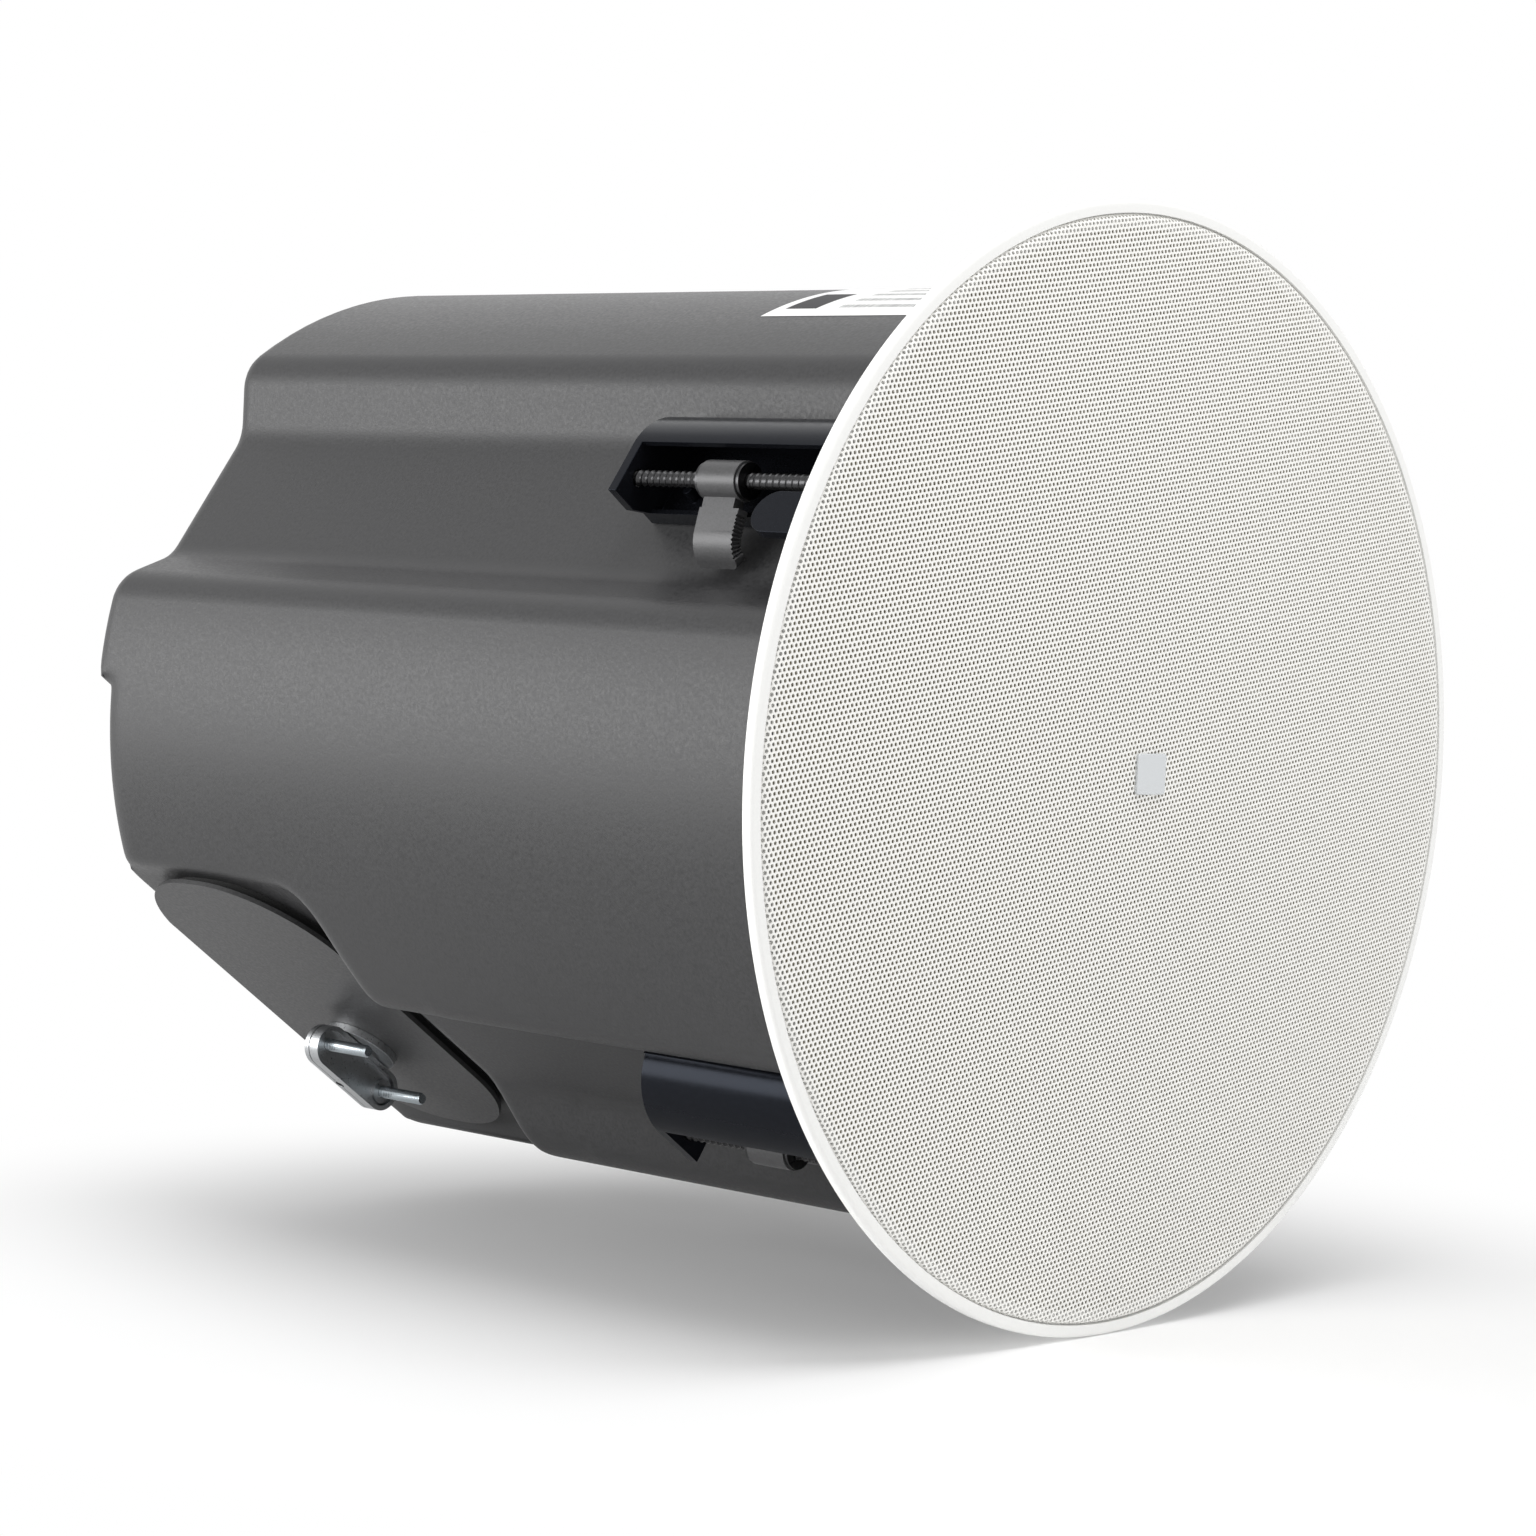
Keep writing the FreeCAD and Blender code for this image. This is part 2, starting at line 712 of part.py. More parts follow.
def clamp_ear_shape():
    """Hub and bent paddle of an ear, with teeth along the paddle's front edge."""
    axis = vec(clamp_axis_radius, 0, 0)
    hub = rod(hub_radius, hub_front, hub_back, axis)
    bend_end = ear_straight + ear_bend_radius * math.radians(ear_bend_deg)
    bend_middle = (ear_straight + bend_end) / 2
    ear_end = bend_end + ear_tail
    edges = []
    for side in (1, -1):
        bend = Part.ArcOfCircle(*[ear_edge(reach, side) for reach in (ear_straight, bend_middle, bend_end)])
        edges.append(Part.LineSegment(ear_edge(0, side), ear_edge(ear_straight, side)).toShape())
        edges.append(bend.toShape())
        edges.append(Part.LineSegment(ear_edge(bend_end, side), ear_edge(ear_end, side)).toShape())
    for reach in (0, ear_end):
        edges.append(Part.LineSegment(ear_edge(reach, 1), ear_edge(reach, -1)).toShape())
    profile = Part.Face(Part.Wire(Part.__sortEdges__(edges)))

    front = hub_back - paddle_width
    paddle = profile.translated(vec(0, 0, front)).extrude(vec(0, 0, paddle_width))
    end_place = ear_place(ear_end)[0]
    corners = [edge for edge in paddle.Edges
               if edge.BoundBox.ZLength < 0.01 and (edge.CenterOfMass - vec(0, 0, edge.CenterOfMass.z)
                                                   - end_place).Length < 0.01]
    paddle = paddle.makeFillet(ear_tip_round, corners)
    neck_back = hub_back - neck_setback
    beside = (clamp_axis_radius - hub_radius, clamp_axis_radius + hub_radius)
    paddle = paddle.cut(block(beside, (-neck_length, hub_radius), (front, neck_back - neck_width)))
    paddle = paddle.cut(block(beside, (-neck_length, hub_radius), (neck_back, hub_back)))
    for index in range(tooth_count):
        place, bent = ear_place(tooth_start + (index + 0.5) * tooth_pitch)
        notch = polygon_face([vec(-ear_thickness, -tooth_pitch / 2, front),
                              vec(-ear_thickness, tooth_pitch / 2, front),
                              vec(-ear_thickness, 0, front + tooth_depth)])
        notch = notch.extrude(vec(2 * ear_thickness, 0, 0))
        paddle = paddle.cut(notch.rotated(origin, up, -math.degrees(bent)).translated(place))
    ear = fused([hub, paddle])
    ear = ear.cut(rod(nut_radius + running_gap, hub_front, hub_back, axis))
    return ear.rotated(axis, up, -ear_stow_tilt_deg).removeSplitter()


def make_clamps():
    shapes = {
        "clamp_housing": housing_shape(),
        "clamp_screw": clamp_screw_shape(),
        "clamp_nut": clamp_nut_shape(),
        "clamp_ear": clamp_ear_shape(),
    }
    for name, shape in shapes.items():
        for index in range(clamp_count):
            parts[f"{name}_{index + 1}"] = around(shape, 360.0 / clamp_count * index)


# Terminal cover with its foam, screws and cable connector

def rounded_plate(half_width, front, back, corner, near, far):
    """Plate parallel to the axis between y = -near and y = -far, with four round corners."""
    plate = block((cover_offset - half_width, cover_offset + half_width), (-far, -near), (front, back))
    corners = [edge for edge in plate.Edges
               if edge.BoundBox.XLength < 0.01 and edge.BoundBox.ZLength < 0.01]
    return plate.makeFillet(corner, corners)


def cover_screw_places():
    middle = -(cover_face - cover_tab_depth / 2)
    return [vec(cover_offset + side * cover_screw_spread / 2, middle, 0) for side in (-1, 1)]


def make_cover():
    half = cover_length / 2
    sheet = rounded_plate(half, cover_front, cover_back, cover_corner, cover_inner_face, cover_face)
    tab = block((cover_offset - cover_tab_half_width, cover_offset + cover_tab_half_width),
                (-cover_face, -cover_face + cover_tab_depth), (step_height, cover_back))
    cover = fused([sheet, tab])
    fold = [edge for edge in cover.Edges
            if edge.BoundBox.ZMin > cover_back - 0.01 and edge.BoundBox.YMax < 0.01 - cover_face]
    cover = cover.makeFillet(cover_fold_radius, fold)
    hole = Part.makeCylinder(nipple_radius + baffle_gap, 2 * cover_sheet,
                             vec(connector_offset, -cover_face - cover_sheet / 2, connector_height), along_y)
    cover = cover.cut(hole)
    screws = []
    for place in cover_screw_places():
        cover = cover.cut(rod(cover_screw_radius, step_height, cover_back, place))
        screw = pan_screw(cover_screw_radius, cover_screw_head_radius, cover_screw_head_height,
                          cover_screw_length)
        screws.append(screw.translated(place + vec(0, 0, cover_back)))
    parts["terminal_cover"] = cover.removeSplitter()
    parts["cover_screws"] = Part.makeCompound(screws)

    foam = rounded_plate(half - foam_inset, cover_front + foam_inset, step_height - foam_inset,
                         cover_corner - foam_inset, pocket_floor, cover_inner_face)
    opening_half = window_half_width + foam_margin
    opening = block((-opening_half, opening_half), (-cover_inner_face, -pocket_floor),
                    (window_front - foam_margin, window_back + foam_margin))
    parts["cover_gasket"] = foam.cut(opening)


def make_terminal_cup():
    inner_face = pocket_floor - can_sheet
    half = window_half_width - cup_gap
    front = window_front + cup_gap
    back = window_back - cup_gap
    bottom = pocket_floor - cup_depth
    shell = block((-half, half), (-pocket_floor, -bottom), (front, back))
    hollow = block((cup_wall - half, half - cup_wall), (-pocket_floor, -bottom - cup_wall),
                   (front + cup_wall, back - cup_wall))
    lip = block((-half - cup_lip, half + cup_lip), (-inner_face, -inner_face + cup_wall),
                (front - cup_lip, back + cup_lip))
    parts["terminal_cup"] = fused([shell, lip]).cut(hollow)

    floor = -bottom - cup_wall
    left = half - cup_wall - block_back_gap - block_length
    low = front + cup_wall + block_back_gap
    body = block((left, left + block_length), (floor - block_height, floor), (low, low + block_width))
    pitch = block_length / block_ways
    for index in range(block_ways):
        way = vec(left + pitch * (index + 0.5), floor - block_height, low + block_width / 2)
        body = body.cut(Part.makeCylinder(block_way_radius, block_height / 2, way, along_y))
    parts["terminal_block"] = body


def stadium(length, width, low, high, centre_depth):
    """Round-ended bar along X, lying across the connector."""
    half = length / 2 - width / 2
    bar = block((connector_offset - half, connector_offset + half),
                (-centre_depth - width / 2, -centre_depth + width / 2), (low, high))
    ends = [rod(width / 2, low, high, vec(connector_offset + side * half, -centre_depth, 0))
            for side in (-1, 1)]
    return fused([bar] + ends)


def make_connector():
    """Connector whose two jaws close on a cable that runs straight out from the cover."""
    reach = connector_flange_thickness + housing_gap + dish_width / 2
    jaw_depth = cover_face + reach
    body_front = connector_height + jaw_gap / 2
    body_back = body_front + jaw_wall
    saddle_back = connector_height - jaw_gap / 2
    saddle_front = saddle_back - dish_wall
    rim_front = saddle_front - dish_rim_height
    screw_places = [vec(connector_offset + side * connector_screw_spread / 2, -jaw_depth, 0)
                    for side in (-1, 1)]

    centre = vec(connector_offset, -cover_face, connector_height)
    flange = Part.makeCylinder(connector_flange_radius, connector_flange_thickness, centre, -along_y)
    nipple = Part.makeCylinder(nipple_radius, nipple_length, centre, along_y)
    neck = Part.makeCylinder(nipple_radius, reach, centre, -along_y)
    neck = neck.common(block((connector_offset - nipple_radius, connector_offset + nipple_radius),
                             (-jaw_depth, -cover_face), (body_front, body_back)))
    jaw = stadium(dish_length, dish_width, body_front, body_back, jaw_depth)
    entry = Part.makeCylinder(nipple_bore_radius, nipple_length + connector_flange_thickness,
                              centre + vec(0, nipple_length, 0), -along_y)
    trough = Part.makeCylinder(trough_radius, reach + dish_width, centre, -along_y)
    body = fused([flange, nipple, neck, jaw]).cut(entry).cut(trough)
    saddle = stadium(dish_length, dish_width, rim_front, saddle_back, jaw_depth)
    saddle = saddle.cut(stadium(dish_length - 2 * dish_rim, dish_width - 2 * dish_rim, rim_front,
                                saddle_front, jaw_depth))
    bosses = [rod(2 * connector_screw_radius, rim_front + dish_rim_height / 2, saddle_front, place)
              for place in screw_places]
    saddle = fused([saddle] + bosses).cut(trough)
    screws = []
    for place in screw_places:
        hole = rod(connector_screw_radius, rim_front, body_back, place)
        body = body.cut(hole)
        saddle = saddle.cut(hole)
        screw = pan_screw(connector_screw_radius, connector_head_radius, connector_head_height,
                          connector_screw_length)
        screws.append(screw.translated(place + vec(0, 0, body_back)))
    parts["cable_connector"] = body.removeSplitter()
    parts["connector_saddle"] = saddle.removeSplitter()
    parts["connector_screws"] = Part.makeCompound(screws)

    nut_centre = vec(connector_offset, -cover_inner_face, connector_height)
    locknut = Part.makeCylinder(locknut_radius, locknut_thickness, nut_centre, along_y)
    for index in range(locknut_lugs):
        angle = math.radians(360.0 / locknut_lugs * index)
        lug_reach = locknut_radius + locknut_lug_depth
        place = nut_centre + vec(lug_reach * math.cos(angle), 0, lug_reach * math.sin(angle))
        locknut = locknut.cut(Part.makeCylinder(2 * locknut_lug_depth, locknut_thickness, place, along_y))
    parts["connector_locknut"] = locknut.cut(
        Part.makeCylinder(nipple_radius, locknut_thickness, nut_centre, along_y))


# Woofer

def woofer_screw_places():
    turn = 360.0 / woofer_screw_count
    return [polar(woofer_screw_circle, woofer_screw_turn_deg + turn * index)
            for index in range(woofer_screw_count)]


def make_woofer():
    face = baffle_back
    seat = face + basket_depth
    throat = face + basket_throat_depth
    shelf = face + spider_seat_depth
    floor_radius = basket_seat_radius - basket_floor_inset
    basket = turned([
        (basket_throat_radius, face), (basket_radius, face), (basket_radius, face + basket_sheet),
        (basket_throat_radius + basket_sheet, face + basket_sheet),
        (basket_throat_radius + basket_sheet, throat),
        (basket_seat_radius + 2 * basket_sheet, shelf + basket_sheet),
        (floor_radius + basket_sheet, shelf + basket_sheet), (floor_radius + basket_sheet, seat),
        (gap_hole_radius, seat), (gap_hole_radius, seat - basket_sheet), (floor_radius, seat - basket_sheet),
        (floor_radius, shelf), (basket_seat_radius + basket_sheet, shelf), (basket_throat_radius, throat),
    ])
    half = basket_window_width / 2
    for index in range(basket_windows):
        window = block((basket_seat_radius, basket_radius), (-half, half),
                       (face + basket_window_low, face + basket_window_high))
        basket = basket.cut(around(window, 360.0 / basket_windows * index))
    for place in woofer_screw_places():
        basket = basket.cut(rod(woofer_screw_radius, face, face + basket_sheet, place))
    parts["woofer_basket"] = basket

    plate_back = seat + top_plate_thickness
    magnet_back = plate_back + magnet_thickness
    parts["woofer_top_plate"] = ring(gap_hole_radius, top_plate_radius, seat, plate_back)
    parts["woofer_magnet"] = ring(magnet_hole_radius, magnet_radius, plate_back, magnet_back)
    parts["woofer_pole_piece"] = turned([
        (vent_radius, seat), (pole_radius, seat), (pole_radius, magnet_back), (yoke_radius, magnet_back),
        (yoke_radius, magnet_back + yoke_thickness), (vent_radius, magnet_back + yoke_thickness),
    ])

    coil_start = face + coil_front
    parts["voice_coil"] = ring(coil_radius, coil_outer_radius, coil_start, coil_start + coil_length)
    cone_back = coil_start + coil_length / 4
    cone_edge = face + cone_front
    parts["woofer_cone"] = turned([
        (coil_outer_radius, cone_back), (cone_radius, cone_edge), (cone_radius, cone_edge + cone_sheet),
        (coil_outer_radius, cone_back + cone_sheet),
    ])
    parts["dust_cap"] = turned([
        (0, coil_start - cap_rise), (coil_radius, coil_start - cone_sheet),
        (coil_outer_radius, coil_start - cone_sheet), (coil_outer_radius, coil_start),
        (coil_radius, coil_start), (0, coil_start - cap_rise + cone_sheet),
    ])

    middle = (cone_radius + basket_throat_radius) / 2
    half_roll = (basket_throat_radius - cone_radius) / 2
    front_side = []
    back_side = []
    for index in range(surround_steps + 1):
        angle = math.pi * index / surround_steps
        radius = middle - half_roll * math.cos(angle)
        height = cone_edge - surround_roll * math.sin(angle)
        front_side.append((radius, height))
        back_side.append((radius, height + surround_sheet))
    parts["woofer_surround"] = turned(front_side + back_side[::-1])

    spider_height = shelf - spider_thickness
    step = (basket_seat_radius - coil_outer_radius) / (2 * spider_waves)
    front_side = []
    for index in range(2 * spider_waves + 1):
        wave = spider_wave_height * (index % 2)
        front_side.append((coil_outer_radius + step * index, spider_height - wave))
    back_side = [(radius, height + spider_thickness) for radius, height in reversed(front_side)]
    parts["woofer_spider"] = turned(front_side + back_side)

    screws = []
    for place in woofer_screw_places():
        screw = pan_screw(woofer_screw_radius, can_screw_head_radius, can_screw_head_height,
                          woofer_screw_length)
        screws.append(screw.rotated(origin, along_x, 180).translated(place))
    parts["woofer_screws"] = Part.makeCompound(screws)


def make_tweeter():
    half = bridge_width / 2
    bar = block((-bridge_end_radius, bridge_end_radius), (-half, half), (-bridge_thickness, 0))
    hub = rod(tweeter_radius + tweeter_wall, -bridge_thickness, tweeter_depth)
    cup = rod(tweeter_radius, -bridge_thickness, tweeter_depth - tweeter_wall)
    parts["tweeter_bridge"] = fused([bar, hub]).cut(cup)
    body = rod(tweeter_radius - baffle_gap, 0, tweeter_depth - tweeter_wall)
    dome_sphere = (tweeter_dome_radius ** 2 + bridge_thickness ** 2) / (2 * bridge_thickness)
    dome = Part.makeSphere(dome_sphere, vec(0, 0, dome_sphere - bridge_thickness))
    dome = dome.common(rod(tweeter_dome_radius, -bridge_thickness, 0))
    parts["tweeter"] = fused([body, dome])


# Tap switch, reached behind the grille

def switch_place():
    return polar(switch_circle, switch_angle_deg)


def make_tap_switch():
    place = switch_place()
    body = rod(switch_radius, baffle_back, baffle_back + switch_depth, place)
    shaft = rod(switch_shaft_radius, -seat_gap - knob_height / 2, baffle_back, place)
    parts["tap_switch"] = body.fuse(shaft).removeSplitter()
    knob = rod(knob_radius, -seat_gap - knob_height, -seat_gap, place)
    knob = knob.cut(rod(switch_shaft_radius + running_gap, -2 * seat_gap - knob_height / 2, 0, place))
    low = -seat_gap - knob_height
    half_slot = knob_slot_width / 2
    slot = block((place.x - knob_radius, place.x + knob_radius), (place.y - half_slot, place.y + half_slot),
                 (low, low + knob_slot_depth))
    parts["tap_knob"] = knob.cut(slot)


# Crossover, line transformer and damping on the inside of the can

def make_crossover():
    x_centre, y_centre = board_centre
    top = can_inside_back - standoff_height
    low = top - board_thickness
    x_range = (x_centre - board_length / 2, x_centre + board_length / 2)
    y_range = (y_centre - board_width / 2, y_centre + board_width / 2)
    parts["crossover_board"] = block(x_range, y_range, (low, top))
    legs = []
    for x in (x_range[0] + standoff_inset, x_range[1] - standoff_inset):
        for y in (y_range[0] + standoff_inset, y_range[1] - standoff_inset):
            legs.append(rod(standoff_radius, top, can_inside_back, vec(x, y, 0)))
    parts["crossover_standoffs"] = Part.makeCompound(legs)
    coil = ring(inductor_hole_radius, inductor_radius, low - inductor_height, low)
    coil_place = vec(x_range[1] - inductor_radius - standoff_inset, y_centre, 0)
    parts["crossover_coil"] = coil.translated(coil_place)
    cans = []
    for y in (y_centre - 2 * capacitor_radius, y_centre + 2 * capacitor_radius):
        cans.append(Part.makeCylinder(capacitor_radius, capacitor_length,
                                      vec(x_range[0] + standoff_inset, y, low - capacitor_radius), along_x))
    parts["crossover_capacitors"] = Part.makeCompound(cans)


def make_transformer():
    x_centre, y_centre = core_centre
    back = can_inside_back - bracket_sheet
    half_length = core_length / 2
    half_width = core_width / 2
    x_range = (x_centre - half_length, x_centre + half_length)
    y_range = (y_centre - half_width, y_centre + half_width)
    core = block(x_range, y_range, (back - core_stack, back))
    limb_half = core_limb
    slots = []
    for side in (-1, 1):
        near = x_centre + side * limb_half
        far = x_centre + side * (half_length - core_limb)
        slots.append(block((min(near, far), max(near, far)),
                           (y_range[0] + core_limb, y_range[1] - core_limb), (back - core_stack, back)))
    core = core.cut(slots[0]).cut(slots[1])
    parts["transformer_core"] = core

    outer_half = half_length - core_limb - winding_gap
    inner_half = limb_half + winding_gap
    w_range = (y_range[0] + core_limb + winding_gap, y_range[1] - core_limb - winding_gap)
    low = back - core_stack - winding_overhang
    high = back
    winding = block((x_centre - outer_half, x_centre + outer_half), w_range, (low, high))
    winding = winding.cut(block((x_centre - inner_half, x_centre + inner_half), w_range,
                                (back - core_stack - winding_gap, back)))
    parts["transformer_winding"] = winding

    foot_range = (x_range[0] - bracket_foot, x_range[1] + bracket_foot)
    strap = block(foot_range, (y_centre - core_limb, y_centre + core_limb), (back, can_inside_back))
    parts["transformer_bracket"] = strap


def make_damping():
    pads = []
    outer = lobe_radius - can_sheet - pad_gap
    inner = outer - pad_thickness
    for index in range(clamp_count):
        middle = 45.0 + 90.0 * index
        low = middle - pad_half_angle_deg
        face = polygon_face([vec(inner, 0, pad_front), vec(outer, 0, pad_front), vec(outer, 0, pad_back),
                             vec(inner, 0, pad_back)])
        pads.append(around(face.revolve(origin, up, 2 * pad_half_angle_deg), low))
    parts["damping_pads"] = Part.makeCompound(pads)


make_bezel()
make_grille()
make_baffle()
make_can()
make_can_fasteners()
make_clamps()
make_cover()
make_terminal_cup()
make_connector()
make_woofer()
make_tweeter()
make_tap_switch()
make_crossover()
make_transformer()
make_damping()

os.makedirs("parts", exist_ok=True)
for name, shape in parts.items():
    shape.exportStep(os.path.join("parts", name + ".step"))
    solids = len(shape.Solids)
    print(f"{name}: {solids} solid(s), {shape.Volume / 1000:.2f} cm3, valid {shape.isValid()}")
print(len(parts), "nodes")
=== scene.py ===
# %% [markdown]
# A ceiling loudspeaker, lying on its side as in a studio picture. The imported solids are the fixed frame:
# white bezel, domed grille, lobed steel can, four swing-out clamps and a terminal cover with a cable
# connector. This lesson gives every piece its finish, and makes what the solids leave plain: the
# perforations, the screw threads, the soft edges and the label. The solids are in metres, +Z points into
# the ceiling and the grille faces -Z.

# %% Load the frame
import json
import math

import bmesh
import bpy
from mathutils import Matrix, Vector
from mathutils.bvhtree import BVHTree

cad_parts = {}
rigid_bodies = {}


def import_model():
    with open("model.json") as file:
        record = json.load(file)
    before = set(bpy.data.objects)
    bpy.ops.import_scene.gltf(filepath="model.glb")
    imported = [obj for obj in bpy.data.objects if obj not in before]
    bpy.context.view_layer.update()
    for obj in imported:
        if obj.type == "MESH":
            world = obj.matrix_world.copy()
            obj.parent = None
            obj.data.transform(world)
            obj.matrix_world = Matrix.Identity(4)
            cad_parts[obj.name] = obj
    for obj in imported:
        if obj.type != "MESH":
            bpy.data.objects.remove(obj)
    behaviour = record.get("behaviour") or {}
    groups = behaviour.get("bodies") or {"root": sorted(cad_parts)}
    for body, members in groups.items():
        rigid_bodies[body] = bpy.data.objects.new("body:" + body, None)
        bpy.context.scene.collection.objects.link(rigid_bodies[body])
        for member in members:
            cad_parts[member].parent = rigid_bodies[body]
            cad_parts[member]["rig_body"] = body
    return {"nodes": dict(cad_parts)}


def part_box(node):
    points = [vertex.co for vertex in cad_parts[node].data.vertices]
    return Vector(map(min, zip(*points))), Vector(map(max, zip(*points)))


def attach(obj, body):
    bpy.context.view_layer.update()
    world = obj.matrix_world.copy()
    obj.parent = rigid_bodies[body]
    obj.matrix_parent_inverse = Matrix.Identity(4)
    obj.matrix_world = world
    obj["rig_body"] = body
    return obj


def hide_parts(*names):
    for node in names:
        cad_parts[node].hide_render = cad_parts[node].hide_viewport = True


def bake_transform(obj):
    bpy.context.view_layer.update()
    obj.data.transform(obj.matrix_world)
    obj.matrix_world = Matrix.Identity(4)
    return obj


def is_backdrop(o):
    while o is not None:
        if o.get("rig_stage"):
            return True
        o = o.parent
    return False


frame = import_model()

MM = 0.001
nodes = frame["nodes"]
clamps = range(1, 5)
scene = bpy.context.scene
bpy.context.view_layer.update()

# %% [markdown]
# Three small helpers serve every step. One turns an sRGB colour, as a paint chart gives it, into Blender's
# linear values. One adds a node to any tree, with its settings, values and links, so that a material or a
# node tree reads like a list. One makes a material with a grain: a noise of a real size in millimetres
# tints the colour a little, varies the gloss and raises a fine bump, which is how moulded, coated and cast
# skins differ from flat paint.

# %% Helpers for colours, nodes and grained finishes
def hex_colour(code):
    """An sRGB colour code as Blender's linear values."""
    channels = [int(code[start:start + 2], 16) / 255 for start in (1, 3, 5)]
    linear = [c / 12.92 if c <= 0.04045 else ((c + 0.055) / 1.055) ** 2.4 for c in channels]
    return (*linear, 1.0)


def add(tree, kind, inputs=None, **settings):
    """Add a node. Settings are its properties; inputs are values, or sockets to link from."""
    node = tree.nodes.new(kind)
    for name, value in settings.items():
        setattr(node, name, value)
    for name, value in (inputs or {}).items():
        if isinstance(value, bpy.types.NodeSocket):
            tree.links.new(value, node.inputs[name])
        else:
            node.inputs[name].default_value = value
    return node


def grained(name, dark, light, grain_mm, bump_mm, gloss, shader):
    """A finish whose grain has a real size: two near colours, two roughness values and a bump."""
    material = bpy.data.materials.new(name)
    material.use_nodes = True
    tree = material.node_tree
    tree.nodes.clear()
    place = add(tree, "ShaderNodeTexCoord")
    grain = add(tree, "ShaderNodeTexNoise", {"Vector": place.outputs["Object"], "Scale": 1 / (grain_mm * MM),
                                             "Detail": 3.0, "Roughness": 0.6})
    tint = add(tree, "ShaderNodeMix", {"Factor": grain.outputs["Fac"], "A": hex_colour(dark),
                                       "B": hex_colour(light)}, data_type="RGBA")
    shine = add(tree, "ShaderNodeMapRange", {"Value": grain.outputs["Fac"], "From Min": 0.3, "From Max": 0.7,
                                             "To Min": gloss[0], "To Max": gloss[1]})
    bump = add(tree, "ShaderNodeBump", {"Height": grain.outputs["Fac"], "Strength": 0.6,
                                        "Distance": bump_mm * MM})
    surface = add(tree, "ShaderNodeBsdfPrincipled", {"Base Color": tint.outputs["Result"],
                                                     "Roughness": shine.outputs["Result"],
                                                     "Normal": bump.outputs["Normal"]})
    for socket, value in shader.items():
        surface.inputs[socket].default_value = value
    add(tree, "ShaderNodeOutputMaterial", {"Surface": surface.outputs["BSDF"]})
    return material


print("white chip in linear:", [round(c, 3) for c in hex_colour("#F4F3F0")])

# %% [markdown]
# The finishes come first, named for what the real ones are. Powder coat is baked polyester: a matt skin of
# fine lumps, here about a millimetre apart, drawn a little coarser than life so that it shows. Moulded
# nylon is smooth and glossy. Die-cast zinc and plated steel are metals, so they keep the default IOR and
# get their look from roughness. The inner parts have plain finishes, because they show only when the part
# is opened.

# %% Make the finishes
metal = {"Metallic": 1.0}
part_metal = {"Metallic": 0.35}
coat_shine = {"Specular IOR Level": 0.38}
blue_shine = {"Specular IOR Level": 0.12, "Specular Tint": hex_colour("#C4D3F0")}
# Each recipe: dark and light colour, grain and bump in mm, range of roughness, other shader values
recipes = {
    "moulded_white_abs": ("#F0F0EE", "#F6F6F4", 0.8, 0.004, (0.36, 0.44), {}),
    "white_coated_steel": ("#F5F4F0", "#FBFAF7", 0.6, 0.010, (0.42, 0.55), {}),
    "black_powder_coat": ("#1A1A1B", "#424243", 1.1, 0.080, (0.38, 0.54), coat_shine),
    "gloss_black_nylon": ("#0E0F12", "#15161A", 1.5, 0.006, (0.18, 0.26), blue_shine),
    "dark_cast_alloy": ("#353536", "#575758", 0.7, 0.060, (0.34, 0.48), part_metal),
    "black_zinc_steel": ("#3A3A3B", "#4C4C4D", 0.5, 0.006, (0.26, 0.38), metal),
    "die_cast_zinc": ("#A4A6A8", "#C2C4C6", 0.7, 0.030, (0.26, 0.40), metal),
    "bright_zinc_plate": ("#C3CDD4", "#DCE3E7", 0.6, 0.004, (0.16, 0.26), metal),
    "satin_aluminium": ("#CDD0D2", "#DADDDF", 0.35, 0.004, (0.38, 0.50), part_metal),
    "matt_black_abs": ("#161617", "#1E1E1F", 0.7, 0.012, (0.48, 0.60), {}),
    "closed_cell_foam": ("#141414", "#1F1F1F", 0.5, 0.060, (0.80, 0.92), {}),
    "plated_steel": ("#A7A8A6", "#BDBDBA", 0.8, 0.006, (0.28, 0.40), metal),
    "ferrite": ("#2F3033", "#3D3E41", 0.9, 0.030, (0.55, 0.70), {}),
    "enamelled_copper": ("#A8562C", "#BF6A3A", 0.4, 0.020, (0.24, 0.36), metal),
    "pressed_paper": ("#1F1F20", "#2C2C2D", 1.1, 0.050, (0.78, 0.90), {}),
    "butyl_rubber": ("#151515", "#1C1C1C", 0.9, 0.008, (0.52, 0.62), {}),
    "board_laminate": ("#1F5A33", "#2A6B3E", 0.5, 0.008, (0.34, 0.46), {}),
    "film_wrap": ("#B58A2B", "#C79B38", 1.0, 0.006, (0.20, 0.30), {}),
    "damping_wool": ("#5A5850", "#7A776C", 1.4, 0.200, (0.90, 0.98), {}),
}
finishes = {name: grained(name, *recipe) for name, recipe in recipes.items()}
print("finishes:", len(finishes))

# %% [markdown]
# The cloth behind the grille is a thin woven scrim. It is what the eye sees as the colour of the holes, so
# it is a warm grey. Two crossed waves, one thread apart, make the weave, and their product lifts it as a
# bump.

